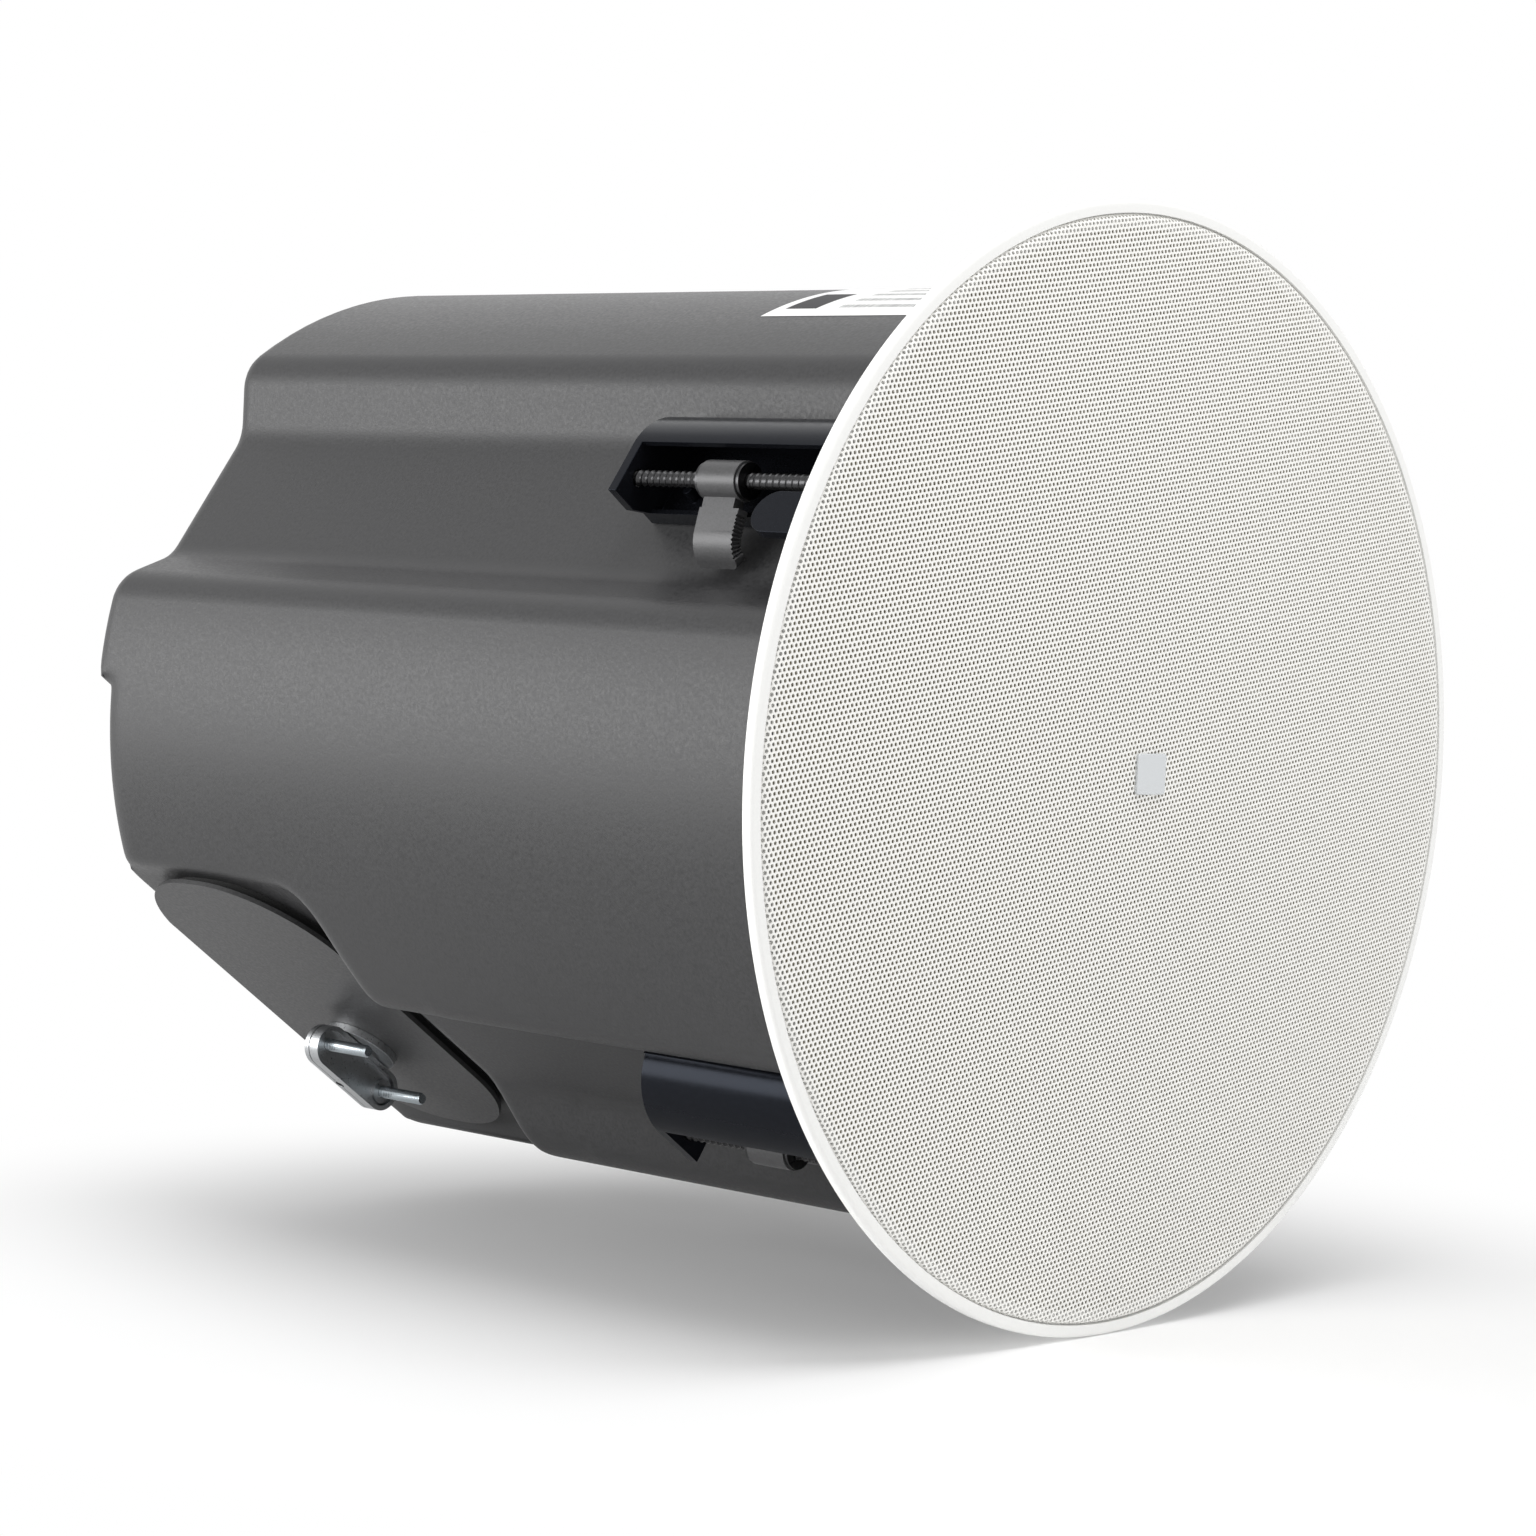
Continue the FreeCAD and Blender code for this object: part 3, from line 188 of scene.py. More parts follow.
# %% Weave the scrim
def woven(name, dark, light, thread_mm):
    """A cloth of crossed threads: two near colours, and a bump that follows the weave."""
    material = bpy.data.materials.new(name)
    material.use_nodes = True
    tree = material.node_tree
    tree.nodes.clear()
    place = add(tree, "ShaderNodeTexCoord").outputs["Object"]
    # A wave of scale s repeats every 2 * pi / (20 * s) metres
    scale = 2 * math.pi / (20 * thread_mm * MM)
    threads = [add(tree, "ShaderNodeTexWave", {"Vector": place, "Scale": scale}, bands_direction=direction)
               for direction in ("X", "Y")]
    weave = add(tree, "ShaderNodeMath", {0: threads[0].outputs["Fac"], 1: threads[1].outputs["Fac"]},
                operation="MULTIPLY")
    tint = add(tree, "ShaderNodeMix", {"Factor": weave.outputs["Value"], "A": hex_colour(dark),
                                       "B": hex_colour(light)}, data_type="RGBA")
    bump = add(tree, "ShaderNodeBump", {"Height": weave.outputs["Value"], "Strength": 0.5,
                                        "Distance": thread_mm * MM / 4})
    surface = add(tree, "ShaderNodeBsdfPrincipled", {"Base Color": tint.outputs["Result"], "Roughness": 0.9,
                                                     "Normal": bump.outputs["Normal"]})
    add(tree, "ShaderNodeOutputMaterial", {"Surface": surface.outputs["BSDF"]})
    return material


finishes["grille_scrim"] = woven("grille_scrim", "#8F8872", "#B5AD96", 0.5)
finishes["spider_cloth"] = woven("spider_cloth", "#8C6B37", "#A98547", 0.9)
print("woven:", [name for name in finishes if "scrim" in name or "cloth" in name])

# %% [markdown]
# Every solid keeps its place and takes a finish from this list. A name that ends in a number stands for one
# of several alike, so the list names each kind once.

# %% Give each solid its finish
kinds = {
    "moulded_white_abs": ["bezel_ring", "bezel_collar"],
    "white_coated_steel": ["grille"],
    "grille_scrim": ["grille_scrim"],
    "satin_aluminium": ["grille_badge"],
    "black_powder_coat": ["back_can", "terminal_cover"],
    "gloss_black_nylon": ["clamp_housing"],
    "dark_cast_alloy": ["clamp_ear"],
    "black_zinc_steel": ["clamp_screw", "clamp_nut", "can_screws", "cover_screws", "woofer_screws"],
    "die_cast_zinc": ["cable_connector", "connector_saddle", "connector_locknut"],
    "bright_zinc_plate": ["connector_screws"],
    "matt_black_abs": ["baffle", "tweeter_bridge", "tweeter", "terminal_cup", "terminal_block", "tap_switch",
                       "tap_knob", "crossover_standoffs"],
    "closed_cell_foam": ["can_gasket", "cover_gasket"],
    "plated_steel": ["woofer_basket", "woofer_top_plate", "woofer_pole_piece", "transformer_bracket"],
    "ferrite": ["woofer_magnet", "transformer_core"],
    "enamelled_copper": ["voice_coil", "crossover_coil", "transformer_winding"],
    "pressed_paper": ["woofer_cone", "dust_cap"],
    "butyl_rubber": ["woofer_surround"],
    "spider_cloth": ["woofer_spider"],
    "board_laminate": ["crossover_board"],
    "film_wrap": ["crossover_capacitors"],
    "damping_wool": ["damping_pads"],
}
finish_of = {kind: finishes[name] for name, members in kinds.items() for kind in members}
for name, solid in nodes.items():
    kind = name.rstrip("0123456789").rstrip("_")
    solid.data.materials.clear()
    solid.data.materials.append(finish_of[kind])
print("solids finished:", len(nodes))

# %% [markdown]
# Many pieces keep the solid's shape but need what a real moulding or stamping has: edges that are a little
# round, so that they catch a line of light. A copy of the solid is welded, its flat faces are joined, its
# edges are bevelled by a width in millimetres, and it stands for the solid. Hardened normals keep the flat
# faces flat. Where a piece has no bevel, smooth shading stops at edges sharper than the given angle.

# %% Helpers for finished pieces
weld_mm = 0.002
flat_deg = 0.5
crease_deg = 32
bevel_segments = 2


def keep(name, mesh, finish, body, replaced=(), sharp_deg=35):
    """Make an object of a finished mesh, smooth it, and let it ride on a body in place of its solids."""
    piece = bpy.data.objects.new(name, mesh)
    scene.collection.objects.link(piece)
    mesh.materials.clear()
    mesh.materials.append(finish)
    if sharp_deg:
        mesh.shade_smooth()
        mesh.set_sharp_from_angle(angle=math.radians(sharp_deg))
    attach(piece, body)
    if replaced:
        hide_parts(*replaced)
    return piece


def applied(piece):
    """Turn a piece with modifiers into one plain mesh."""
    mesh = bpy.data.meshes.new_from_object(piece.evaluated_get(bpy.context.evaluated_depsgraph_get()))
    old = piece.data
    bpy.data.objects.remove(piece)
    bpy.data.meshes.remove(old)
    return mesh


def welded(solid):
    """Copy of a solid's mesh with its corners merged and its flat faces joined."""
    mesh = solid.data.copy()
    shape = bmesh.new()
    shape.from_mesh(mesh)
    bmesh.ops.remove_doubles(shape, verts=shape.verts, dist=weld_mm * MM)
    bmesh.ops.dissolve_limit(shape, angle_limit=math.radians(flat_deg), verts=shape.verts,
                             edges=shape.edges)
    shape.to_mesh(mesh)
    shape.free()
    return mesh


def round_edged(node, width_mm):
    """Stand a copy with rounded edges in for a solid."""
    solid = nodes[node]
    draft = bpy.data.objects.new(node + "_draft", welded(solid))
    draft.data.shade_smooth()
    draft.data.set_sharp_from_angle(angle=math.radians(crease_deg))
    scene.collection.objects.link(draft)
    bevel = draft.modifiers.new("edges", "BEVEL")
    bevel.width = width_mm * MM
    bevel.segments = bevel_segments
    bevel.limit_method = "ANGLE"
    bevel.angle_limit = math.radians(crease_deg)
    bevel.harden_normals = True
    mesh = applied(draft)
    return keep(node + "_piece", mesh, solid.data.materials[0], solid["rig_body"], [node], sharp_deg=None)


edge_widths = {"terminal_cover": 0.4, "cable_connector": 0.35, "connector_saddle": 0.45, "grille_badge": 0.25}
for count in clamps:
    edge_widths[f"clamp_housing_{count}"] = 0.5
    edge_widths[f"clamp_ear_{count}"] = 0.45
for node, width_mm in edge_widths.items():
    piece = round_edged(node, width_mm)
print("round-edged pieces:", len(edge_widths), "faces in the last:", len(piece.data.polygons))

# %% [markdown]
# The bezel is a turned shape, and its rim is the longest smooth curve in the picture, so it is turned again
# with many more steps than the solid has. A half section goes round the axis, its two outer corners are
# quarter circles, and the four holes that let a screwdriver through to the clamps are cut out afterwards.

# %% Turn the bezel
def quarter(centre, radius, from_deg, steps=6):
    """Points of a quarter circle, as pairs of radius and height."""
    angles = [math.radians(from_deg + 90 * step / steps) for step in range(steps + 1)]
    return [(centre[0] + radius * math.cos(angle), centre[1] + radius * math.sin(angle)) for angle in angles]


def turned(profile, steps):
    """Turn a closed half section, given as pairs of radius and height in mm, round the axis."""
    shape = bmesh.new()
    for row in range(steps):
        angle = 2 * math.pi * row / steps
        for radius, height in profile:
            shape.verts.new((radius * math.cos(angle) * MM, radius * math.sin(angle) * MM, height * MM))
    shape.verts.ensure_lookup_table()
    size = len(profile)
    for row in range(steps):
        following = (row + 1) % steps
        for point in range(size):
            after = (point + 1) % size
            shape.faces.new([shape.verts[row * size + point], shape.verts[following * size + point],
                             shape.verts[following * size + after], shape.verts[row * size + after]])
    bmesh.ops.recalc_face_normals(shape, faces=shape.faces[:])
    mesh = bpy.data.meshes.new("turned")
    shape.to_mesh(mesh)
    shape.free()
    return mesh


rim_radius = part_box("bezel_ring")[1].x / MM
rim_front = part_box("bezel_ring")[0].z / MM
grille_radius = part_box("grille")[1].x / MM
edge_round = 1.4
web_front = -2.2
web_inner = 131.0
grille_gap = 0.3
turn_steps = 360
lip = grille_radius + grille_gap
section = [(web_inner, web_front), (lip, web_front), (lip, rim_front)]
section += quarter((rim_radius - edge_round, rim_front + edge_round), edge_round, -90)
section += quarter((rim_radius - edge_round, -edge_round), edge_round, 0)
section += [(web_inner, 0)]
ring = bpy.data.objects.new("ring", turned(section, turn_steps))
scene.collection.objects.link(ring)

access_radius = 4.8
drill_depth = 20
drill_segments = 32
shape = bmesh.new()
for count in clamps:
    low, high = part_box(f"clamp_screw_{count}")
    place = Matrix.Translation(((low.x + high.x) / 2, (low.y + high.y) / 2, 0))
    bmesh.ops.create_cone(shape, segments=drill_segments, cap_ends=True, depth=drill_depth * MM, matrix=place,
                          radius1=access_radius * MM, radius2=access_radius * MM)
drill = bpy.data.objects.new("drill", bpy.data.meshes.new("drill"))
shape.to_mesh(drill.data)
shape.free()
scene.collection.objects.link(drill)
holes = ring.modifiers.new("access_holes", "BOOLEAN")
holes.object = drill
holes.operation = "DIFFERENCE"
holes.solver = "EXACT"
mesh = applied(ring)
bpy.data.objects.remove(drill)
bezel = keep("bezel_piece", mesh, finishes["moulded_white_abs"], "root", ["bezel_ring"])
print("bezel radius in mm:", round(rim_radius, 2), "faces:", len(bezel.data.polygons))

# %% [markdown]
# The can is drawn from sheet steel. A press can't make a sharp edge, so the pocket for the terminal cover
# has a soft rim, where the solid has a plain cut. The patch of skin round the pocket is made again as a
# fine grid in angle and height. Each point falls onto the solid along a radius, the radii are then evened
# out with their neighbours, and the grid takes the place of the faces that it covers. Towards its edges the
# grid keeps the solid's radii, so the two meet without a step.

# %% Press the can's pocket
patch_start_deg = -152
patch_step_deg = 0.5
patch_columns = 249
patch_low = 168
patch_step = 1.4
patch_rows = 95
patch_angles = [math.radians(patch_start_deg + patch_step_deg * step) for step in range(patch_columns)]
patch_heights = [patch_low + patch_step * step for step in range(patch_rows)]
edge_angles = (patch_angles[0], patch_angles[-1])
edge_heights = (patch_heights[0], patch_heights[-1])
ray_start_metres = 0.3
cut_mm = 0.001
join_mm = 0.01
pocket_floor = 114.5
window_half_width = 42.0
window_low = 238.0
window_high = 290.0
window_margin = 0.5
evening_passes = 7
fade_points = 4


def radius_under(solid_tree, angle, height):
    """Radius at which a ray from outside meets the solid. Over the window it is the pocket floor's radius."""
    outwards = Vector((math.cos(angle), math.sin(angle), 0))
    start = outwards * ray_start_metres + Vector((0, 0, height * MM))
    floor_radius = pocket_floor / -math.sin(angle)
    in_width = abs(floor_radius * math.cos(angle)) < window_half_width + window_margin
    in_height = window_low - window_margin < height < window_high + window_margin
    if in_width and in_height:
        return floor_radius * MM
    return solid_tree.ray_cast(start, -outwards)[0].xy.length


def evened(radii):
    """One pass: each radius moves to the mean of its four neighbours, less so near the edges."""
    rows, columns = len(radii), len(radii[0])
    result = [list(row) for row in radii]
    for row in range(1, rows - 1):
        for column in range(1, columns - 1):
            inside = min(row, column, rows - 1 - row, columns - 1 - column)
            share = min(1.0, inside / fade_points)
            mean = (radii[row - 1][column] + radii[row + 1][column]
                    + radii[row][column - 1] + radii[row][column + 1]) / 4
            result[row][column] += share * (mean - radii[row][column])
    return result


def pressed_can():
    """The can's mesh, with the evened grid in place of the skin round the pocket."""
    shape = bmesh.new()
    shape.from_mesh(welded(nodes["back_can"]))
    solid_tree = BVHTree.FromBMesh(shape)
    radii = [[radius_under(solid_tree, angle, height) for angle in patch_angles]
             for height in patch_heights]
    for _ in range(evening_passes):
        radii = evened(radii)

    # Cut the solid along the grid's four edges, then remove the outer faces inside them
    cuts = [((0, 0, height * MM), (0, 0, 1)) for height in edge_heights]
    cuts += [((0, 0, 0), (math.sin(angle), -math.cos(angle), 0)) for angle in edge_angles]
    for place, direction in cuts:
        bmesh.ops.bisect_plane(shape, geom=shape.verts[:] + shape.edges[:] + shape.faces[:], plane_co=place,
                               plane_no=direction, dist=cut_mm * MM)
    covered = []
    for face in shape.faces:
        middle = face.calc_center_median()
        angle = math.atan2(middle.y, middle.x)
        in_patch = (edge_angles[0] < angle < edge_angles[1]
                    and edge_heights[0] < middle.z / MM < edge_heights[1])
        faces_out = face.normal.dot(Vector((middle.x, middle.y, 0))) > cut_mm * MM
        if in_patch and faces_out:
            covered.append(face)
    bmesh.ops.delete(shape, geom=covered, context="FACES")

    grid = []
    for height, row in zip(patch_heights, radii):
        grid.append([shape.verts.new((radius * math.cos(angle), radius * math.sin(angle), height * MM))
                     for radius, angle in zip(row, patch_angles)])
    for low_row, high_row in zip(grid, grid[1:]):
        for column in range(len(patch_angles) - 1):
            corners = (low_row[column], low_row[column + 1], high_row[column + 1], high_row[column])
            middle = sum((corner.co for corner in corners), Vector()) / 4 / MM
            in_window = abs(middle.x) < window_half_width and window_low < middle.z < window_high
            if not in_window:
                shape.faces.new(corners)
    bmesh.ops.remove_doubles(shape, verts=shape.verts, dist=join_mm * MM)
    mesh = bpy.data.meshes.new("pressed_can")
    shape.to_mesh(mesh)
    shape.free()
    return mesh


def face_weighted(mesh):
    """The mesh with smooth normals that lean to its large faces, so that flat faces look flat."""
    mesh.shade_smooth()
    mesh.set_sharp_from_angle(angle=math.radians(crease_deg))
    draft = bpy.data.objects.new("weighted_draft", mesh)
    scene.collection.objects.link(draft)
    weigh = draft.modifiers.new("weigh", "WEIGHTED_NORMAL")
    weigh.keep_sharp = True
    return applied(draft)


can = keep("can_shell", face_weighted(pressed_can()), finishes["black_powder_coat"], "root", ["back_can"],
           sharp_deg=None)
print("can faces:", len(can.data.polygons))

# %% [markdown]
# The grille is a steel sheet with some thirty-five thousand holes in a staggered pattern, pressed to a
# shallow dome. A texture could fake the holes, but then the sheet would look flat at a low angle, so they
# are real. A node tree lays out a grid, shifts every other row, keeps the points of one sector, and sets a
# six-sided cell with a hole and its wall on each. The cells tile the sheet. Then the flat sector is wrapped
# over the dome and round the rolled edge, so the outermost holes bend over the rim as they do on a pressed
# sheet. Six sectors keep each mesh small enough to handle.

# %% Perforate the grille
grille_sectors = 6
least_reach = 1e-6


def node_tree(name, inputs):
    """New geometry tree with named inputs, and the sockets that give their values."""
    tree = bpy.data.node_groups.new(name, "GeometryNodeTree")
    for label, kind in inputs.items():
        tree.interface.new_socket(label, in_out="INPUT", socket_type=kind)
    tree.interface.new_socket("Geometry", in_out="OUTPUT", socket_type="NodeSocketGeometry")
    return tree, add(tree, "NodeGroupInput").outputs


def grown(tree, values):
    """Evaluate a tree with these inputs and return its result as a plain mesh."""
    seed = bpy.data.objects.new("seed", bpy.data.meshes.new("seed"))
    scene.collection.objects.link(seed)
    modifier = seed.modifiers.new("tree", "NODES")
    modifier.node_group = tree
    for socket in tree.interface.items_tree:
        if socket.in_out == "INPUT":
            modifier[socket.identifier] = values[socket.name]
    return applied(seed)


def math_node(tree, operation, first, second=0.0):
    """Add a step of arithmetic and return its result."""
    return add(tree, "ShaderNodeMath", {0: first, 1: second}, operation=operation).outputs["Value"]


def perforation_tree():
    """Tree that makes one sector of the domed sheet with its holes."""
    floats = ["Pitch", "Hole Radius", "Thickness", "Field Radius", "Dome Radius", "Dome Edge", "Roll", "Apex",
              "Sector", "Turn"]
    inputs = {label: "NodeSocketFloat" for label in floats}
    inputs.update({"Count": "NodeSocketInt", "Finish": "NodeSocketMaterial"})
    tree, given = node_tree("perforated_sector", inputs)
    pitch = given["Pitch"]
    row_pitch = math_node(tree, "MULTIPLY", pitch, math.sqrt(3) / 2)
    gaps = math_node(tree, "SUBTRACT", given["Count"], 1.0)
    grid = add(tree, "GeometryNodeMeshGrid", {"Size X": math_node(tree, "MULTIPLY", gaps, pitch),
                                              "Size Y": math_node(tree, "MULTIPLY", gaps, row_pitch),
                                              "Vertices X": given["Count"], "Vertices Y": given["Count"]})

    # Every other row moves along by half a pitch
    start = add(tree, "GeometryNodeInputPosition").outputs["Position"]
    place = add(tree, "ShaderNodeSeparateXYZ", {0: start})
    row = math_node(tree, "ROUND", math_node(tree, "DIVIDE", place.outputs["Y"], row_pitch))
    odd = math_node(tree, "FLOORED_MODULO", row, 2.0)
    shift = math_node(tree, "MULTIPLY", odd, math_node(tree, "MULTIPLY", pitch, 0.5))
    staggered = add(tree, "GeometryNodeSetPosition", {
        "Geometry": grid.outputs["Mesh"],
        "Offset": add(tree, "ShaderNodeCombineXYZ", {"X": shift}).outputs[0]})

    # Keep the points of one sector inside the field
    spot = add(tree, "GeometryNodeInputPosition").outputs["Position"]
    spot_axes = add(tree, "ShaderNodeSeparateXYZ", {0: spot})
    spot_reach = add(tree, "ShaderNodeVectorMath", {0: spot}, operation="LENGTH").outputs["Value"]
    outside = math_node(tree, "GREATER_THAN", spot_reach, given["Field Radius"])
    angle = math_node(tree, "ARCTAN2", spot_axes.outputs["Y"], spot_axes.outputs["X"])
    turns = math_node(tree, "DIVIDE", math_node(tree, "ADD", angle, math.pi),
                      2 * math.pi / grille_sectors)
    sector = math_node(tree, "MINIMUM", math_node(tree, "FLOOR", turns), grille_sectors - 1.0)
    sectors_off = math_node(tree, "ABSOLUTE", math_node(tree, "SUBTRACT", sector, given["Sector"]))
    elsewhere = math_node(tree, "GREATER_THAN", sectors_off, 0.5)
    points = add(tree, "GeometryNodeDeleteGeometry", {
        "Geometry": staggered.outputs["Geometry"],
        "Selection": math_node(tree, "MAXIMUM", outside, elsewhere)}, domain="POINT")

    # One cell: a six-sided plate with a six-sided hole, and the wall of the hole
    cell_radius = math_node(tree, "DIVIDE", pitch, math.sqrt(3))
    plate = add(tree, "GeometryNodeMeshCircle", {"Vertices": 6, "Radius": cell_radius}, fill_type="NGON")
    inset = add(tree, "GeometryNodeExtrudeMesh", {"Mesh": plate.outputs["Mesh"], "Offset Scale": 0.0},
                mode="FACES")
    shrunk = add(tree, "GeometryNodeScaleElements", {
        "Geometry": inset.outputs["Mesh"], "Selection": inset.outputs["Top"],
        "Scale": math_node(tree, "DIVIDE", given["Hole Radius"], cell_radius)})
    web = add(tree, "GeometryNodeDeleteGeometry", {"Geometry": shrunk.outputs["Geometry"],
                                                   "Selection": inset.outputs["Top"]}, domain="FACE")
    wall = add(tree, "GeometryNodeMeshCylinder", {"Vertices": 6, "Radius": given["Hole Radius"],
                                                  "Depth": given["Thickness"]}, fill_type="NONE")
    half = math_node(tree, "MULTIPLY", given["Thickness"], 0.5)
    sunk = add(tree, "GeometryNodeTransform", {
        "Geometry": wall.outputs["Mesh"],
        "Translation": add(tree, "ShaderNodeCombineXYZ", {"Z": half}).outputs[0]})
    cell = add(tree, "GeometryNodeJoinGeometry")
    for part in (sunk, web):
        tree.links.new(part.outputs["Geometry"], cell.inputs["Geometry"])
    facing = add(tree, "GeometryNodeFlipFaces", {"Mesh": cell.outputs["Geometry"]})
    aligned = add(tree, "GeometryNodeTransform", {"Geometry": facing.outputs["Mesh"],
                                                  "Rotation": (0.0, 0.0, math.pi / 6)})
    copies = add(tree, "GeometryNodeInstanceOnPoints", {"Points": points.outputs["Geometry"],
                                                        "Instance": aligned.outputs["Geometry"]})
    sheet = add(tree, "GeometryNodeRealizeInstances", {"Geometry": copies.outputs["Instances"]})

    # Wrap the sheet over the dome, round the rolled edge and down behind it
    there = add(tree, "GeometryNodeInputPosition").outputs["Position"]
    axes = add(tree, "ShaderNodeSeparateXYZ", {0: there})
    flat = add(tree, "ShaderNodeCombineXYZ", {"X": axes.outputs["X"], "Y": axes.outputs["Y"]}).outputs[0]
    reach = add(tree, "ShaderNodeVectorMath", {0: flat}, operation="LENGTH").outputs["Value"]
    on_dome = math_node(tree, "MINIMUM", reach, given["Dome Edge"])
    squared = math_node(tree, "MULTIPLY", given["Dome Radius"], given["Dome Radius"])
    below = math_node(tree, "SUBTRACT", squared, math_node(tree, "POWER", on_dome, 2.0))
    depth = math_node(tree, "SQRT", below)
    dome = math_node(tree, "ADD", math_node(tree, "SUBTRACT", given["Dome Radius"], depth), given["Apex"])
    past_edge = math_node(tree, "SUBTRACT", reach, on_dome)
    bend = math_node(tree, "MINIMUM", math_node(tree, "DIVIDE", past_edge, given["Roll"]), math.pi / 2)
    down = math_node(tree, "SUBTRACT", past_edge, math_node(tree, "MULTIPLY", bend, given["Roll"]))
    arm = math_node(tree, "SUBTRACT", given["Roll"], axes.outputs["Z"])
    bend_in = math_node(tree, "MULTIPLY", arm, math_node(tree, "COSINE", bend))
    bend_out = math_node(tree, "MULTIPLY", arm, math_node(tree, "SINE", bend))
    height = math_node(tree, "ADD", math_node(tree, "ADD", dome, down),
                       math_node(tree, "SUBTRACT", given["Roll"], bend_in))
    share = math_node(tree, "DIVIDE", math_node(tree, "ADD", on_dome, bend_out),
                      math_node(tree, "MAXIMUM", reach, least_reach))
    wrapped = add(tree, "ShaderNodeCombineXYZ", {"X": math_node(tree, "MULTIPLY", axes.outputs["X"], share),
                                                 "Y": math_node(tree, "MULTIPLY", axes.outputs["Y"], share),
                                                 "Z": height}).outputs[0]
    domed = add(tree, "GeometryNodeSetPosition", {"Geometry": sheet.outputs["Geometry"], "Position": wrapped})
    turned_sheet = add(tree, "GeometryNodeTransform", {
        "Geometry": domed.outputs["Geometry"],
        "Rotation": add(tree, "ShaderNodeCombineXYZ", {"Z": given["Turn"]}).outputs[0]})
    painted = add(tree, "GeometryNodeSetMaterial", {"Geometry": turned_sheet.outputs["Geometry"],
                                                    "Material": given["Finish"]})
    add(tree, "NodeGroupOutput", {"Geometry": painted.outputs["Geometry"]})
    return tree


hole_pitch = 1.68
hole_radius = 0.62
sheet_thickness = 0.45
roll = 2.0
lattice_turn_deg = -43.9
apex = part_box("grille")[0].z / MM
dome_edge = grille_radius - roll
edge_stand_out = 0.4
field_margin = 0.5
grid_margin = 1.2
grille_crease_deg = 30
edge_height = rim_front - edge_stand_out
dome_radius = (dome_edge ** 2 + (edge_height - apex) ** 2) / (2 * (edge_height - apex))
field_radius = dome_edge + roll * math.pi / 2 + field_margin
tree = perforation_tree()
sizes_mm = {"Pitch": hole_pitch, "Hole Radius": hole_radius, "Thickness": sheet_thickness, "Roll": roll,
            "Field Radius": field_radius, "Dome Radius": dome_radius, "Dome Edge": dome_edge, "Apex": apex}
sheet = {label: size * MM for label, size in sizes_mm.items()}
sheet["Turn"] = math.radians(lattice_turn_deg)
sheet["Count"] = 2 * math.ceil(grid_margin * field_radius / hole_pitch) + 1
sheet["Finish"] = finishes["white_coated_steel"]
for sector in range(grille_sectors):
    mesh = grown(tree, {**sheet, "Sector": float(sector)})
    piece = keep(f"grille_sector_{sector + 1}", mesh, finishes["white_coated_steel"], "root", ["grille"],
                 sharp_deg=grille_crease_deg)
print("dome radius in mm:", round(dome_radius, 1), "faces in a sector:", len(piece.data.polygons))

# %% [markdown]
# The clamp screws are long machine screws with a coarse thread. A turned core carries the slotted head, and
# a ridge runs round it as a helix: a spiral curve swept with a diamond profile. The node tree takes the
# pitch and the length, so the connector's two finer screws use the same tree.

# %% Cut the threads
half_ridge_share = 0.43
shank_slack = 0.1


def thread_tree():
    """Tree that winds a ridge round a core as a helix."""
    floats = ["Core Radius", "Depth", "Pitch", "Length"]
    inputs = {label: "NodeSocketFloat" for label in floats}
    inputs.update({"Place": "NodeSocketVector", "Finish": "NodeSocketMaterial"})
    tree, given = node_tree("helical_thread", inputs)
    turns = math_node(tree, "DIVIDE", given["Length"], given["Pitch"])
    spiral = add(tree, "GeometryNodeCurveSpiral", {
        "Resolution": 20, "Rotations": turns, "Height": given["Length"],
        "Start Radius": given["Core Radius"], "End Radius": given["Core Radius"]})
    upright = add(tree, "GeometryNodeSetCurveNormal", {"Curve": spiral.outputs["Curve"]}, mode="Z_UP")
    half_base = math_node(tree, "MULTIPLY", given["Pitch"], half_ridge_share)
    ridge = add(tree, "GeometryNodeCurvePrimitiveQuadrilateral", {
        "Width": math_node(tree, "MULTIPLY", given["Depth"], 2.0), "Bottom Height": half_base,
        "Top Height": half_base}, mode="KITE")
    swept = add(tree, "GeometryNodeCurveToMesh", {"Curve": upright.outputs["Curve"],
                                                  "Profile Curve": ridge.outputs["Curve"], "Fill Caps": True})
    placed = add(tree, "GeometryNodeTransform", {"Geometry": swept.outputs["Mesh"],
                                                 "Translation": given["Place"]})
    painted = add(tree, "GeometryNodeSetMaterial", {"Geometry": placed.outputs["Geometry"],
                                                    "Material": given["Finish"]})
    add(tree, "NodeGroupOutput", {"Geometry": painted.outputs["Geometry"]})
    return tree


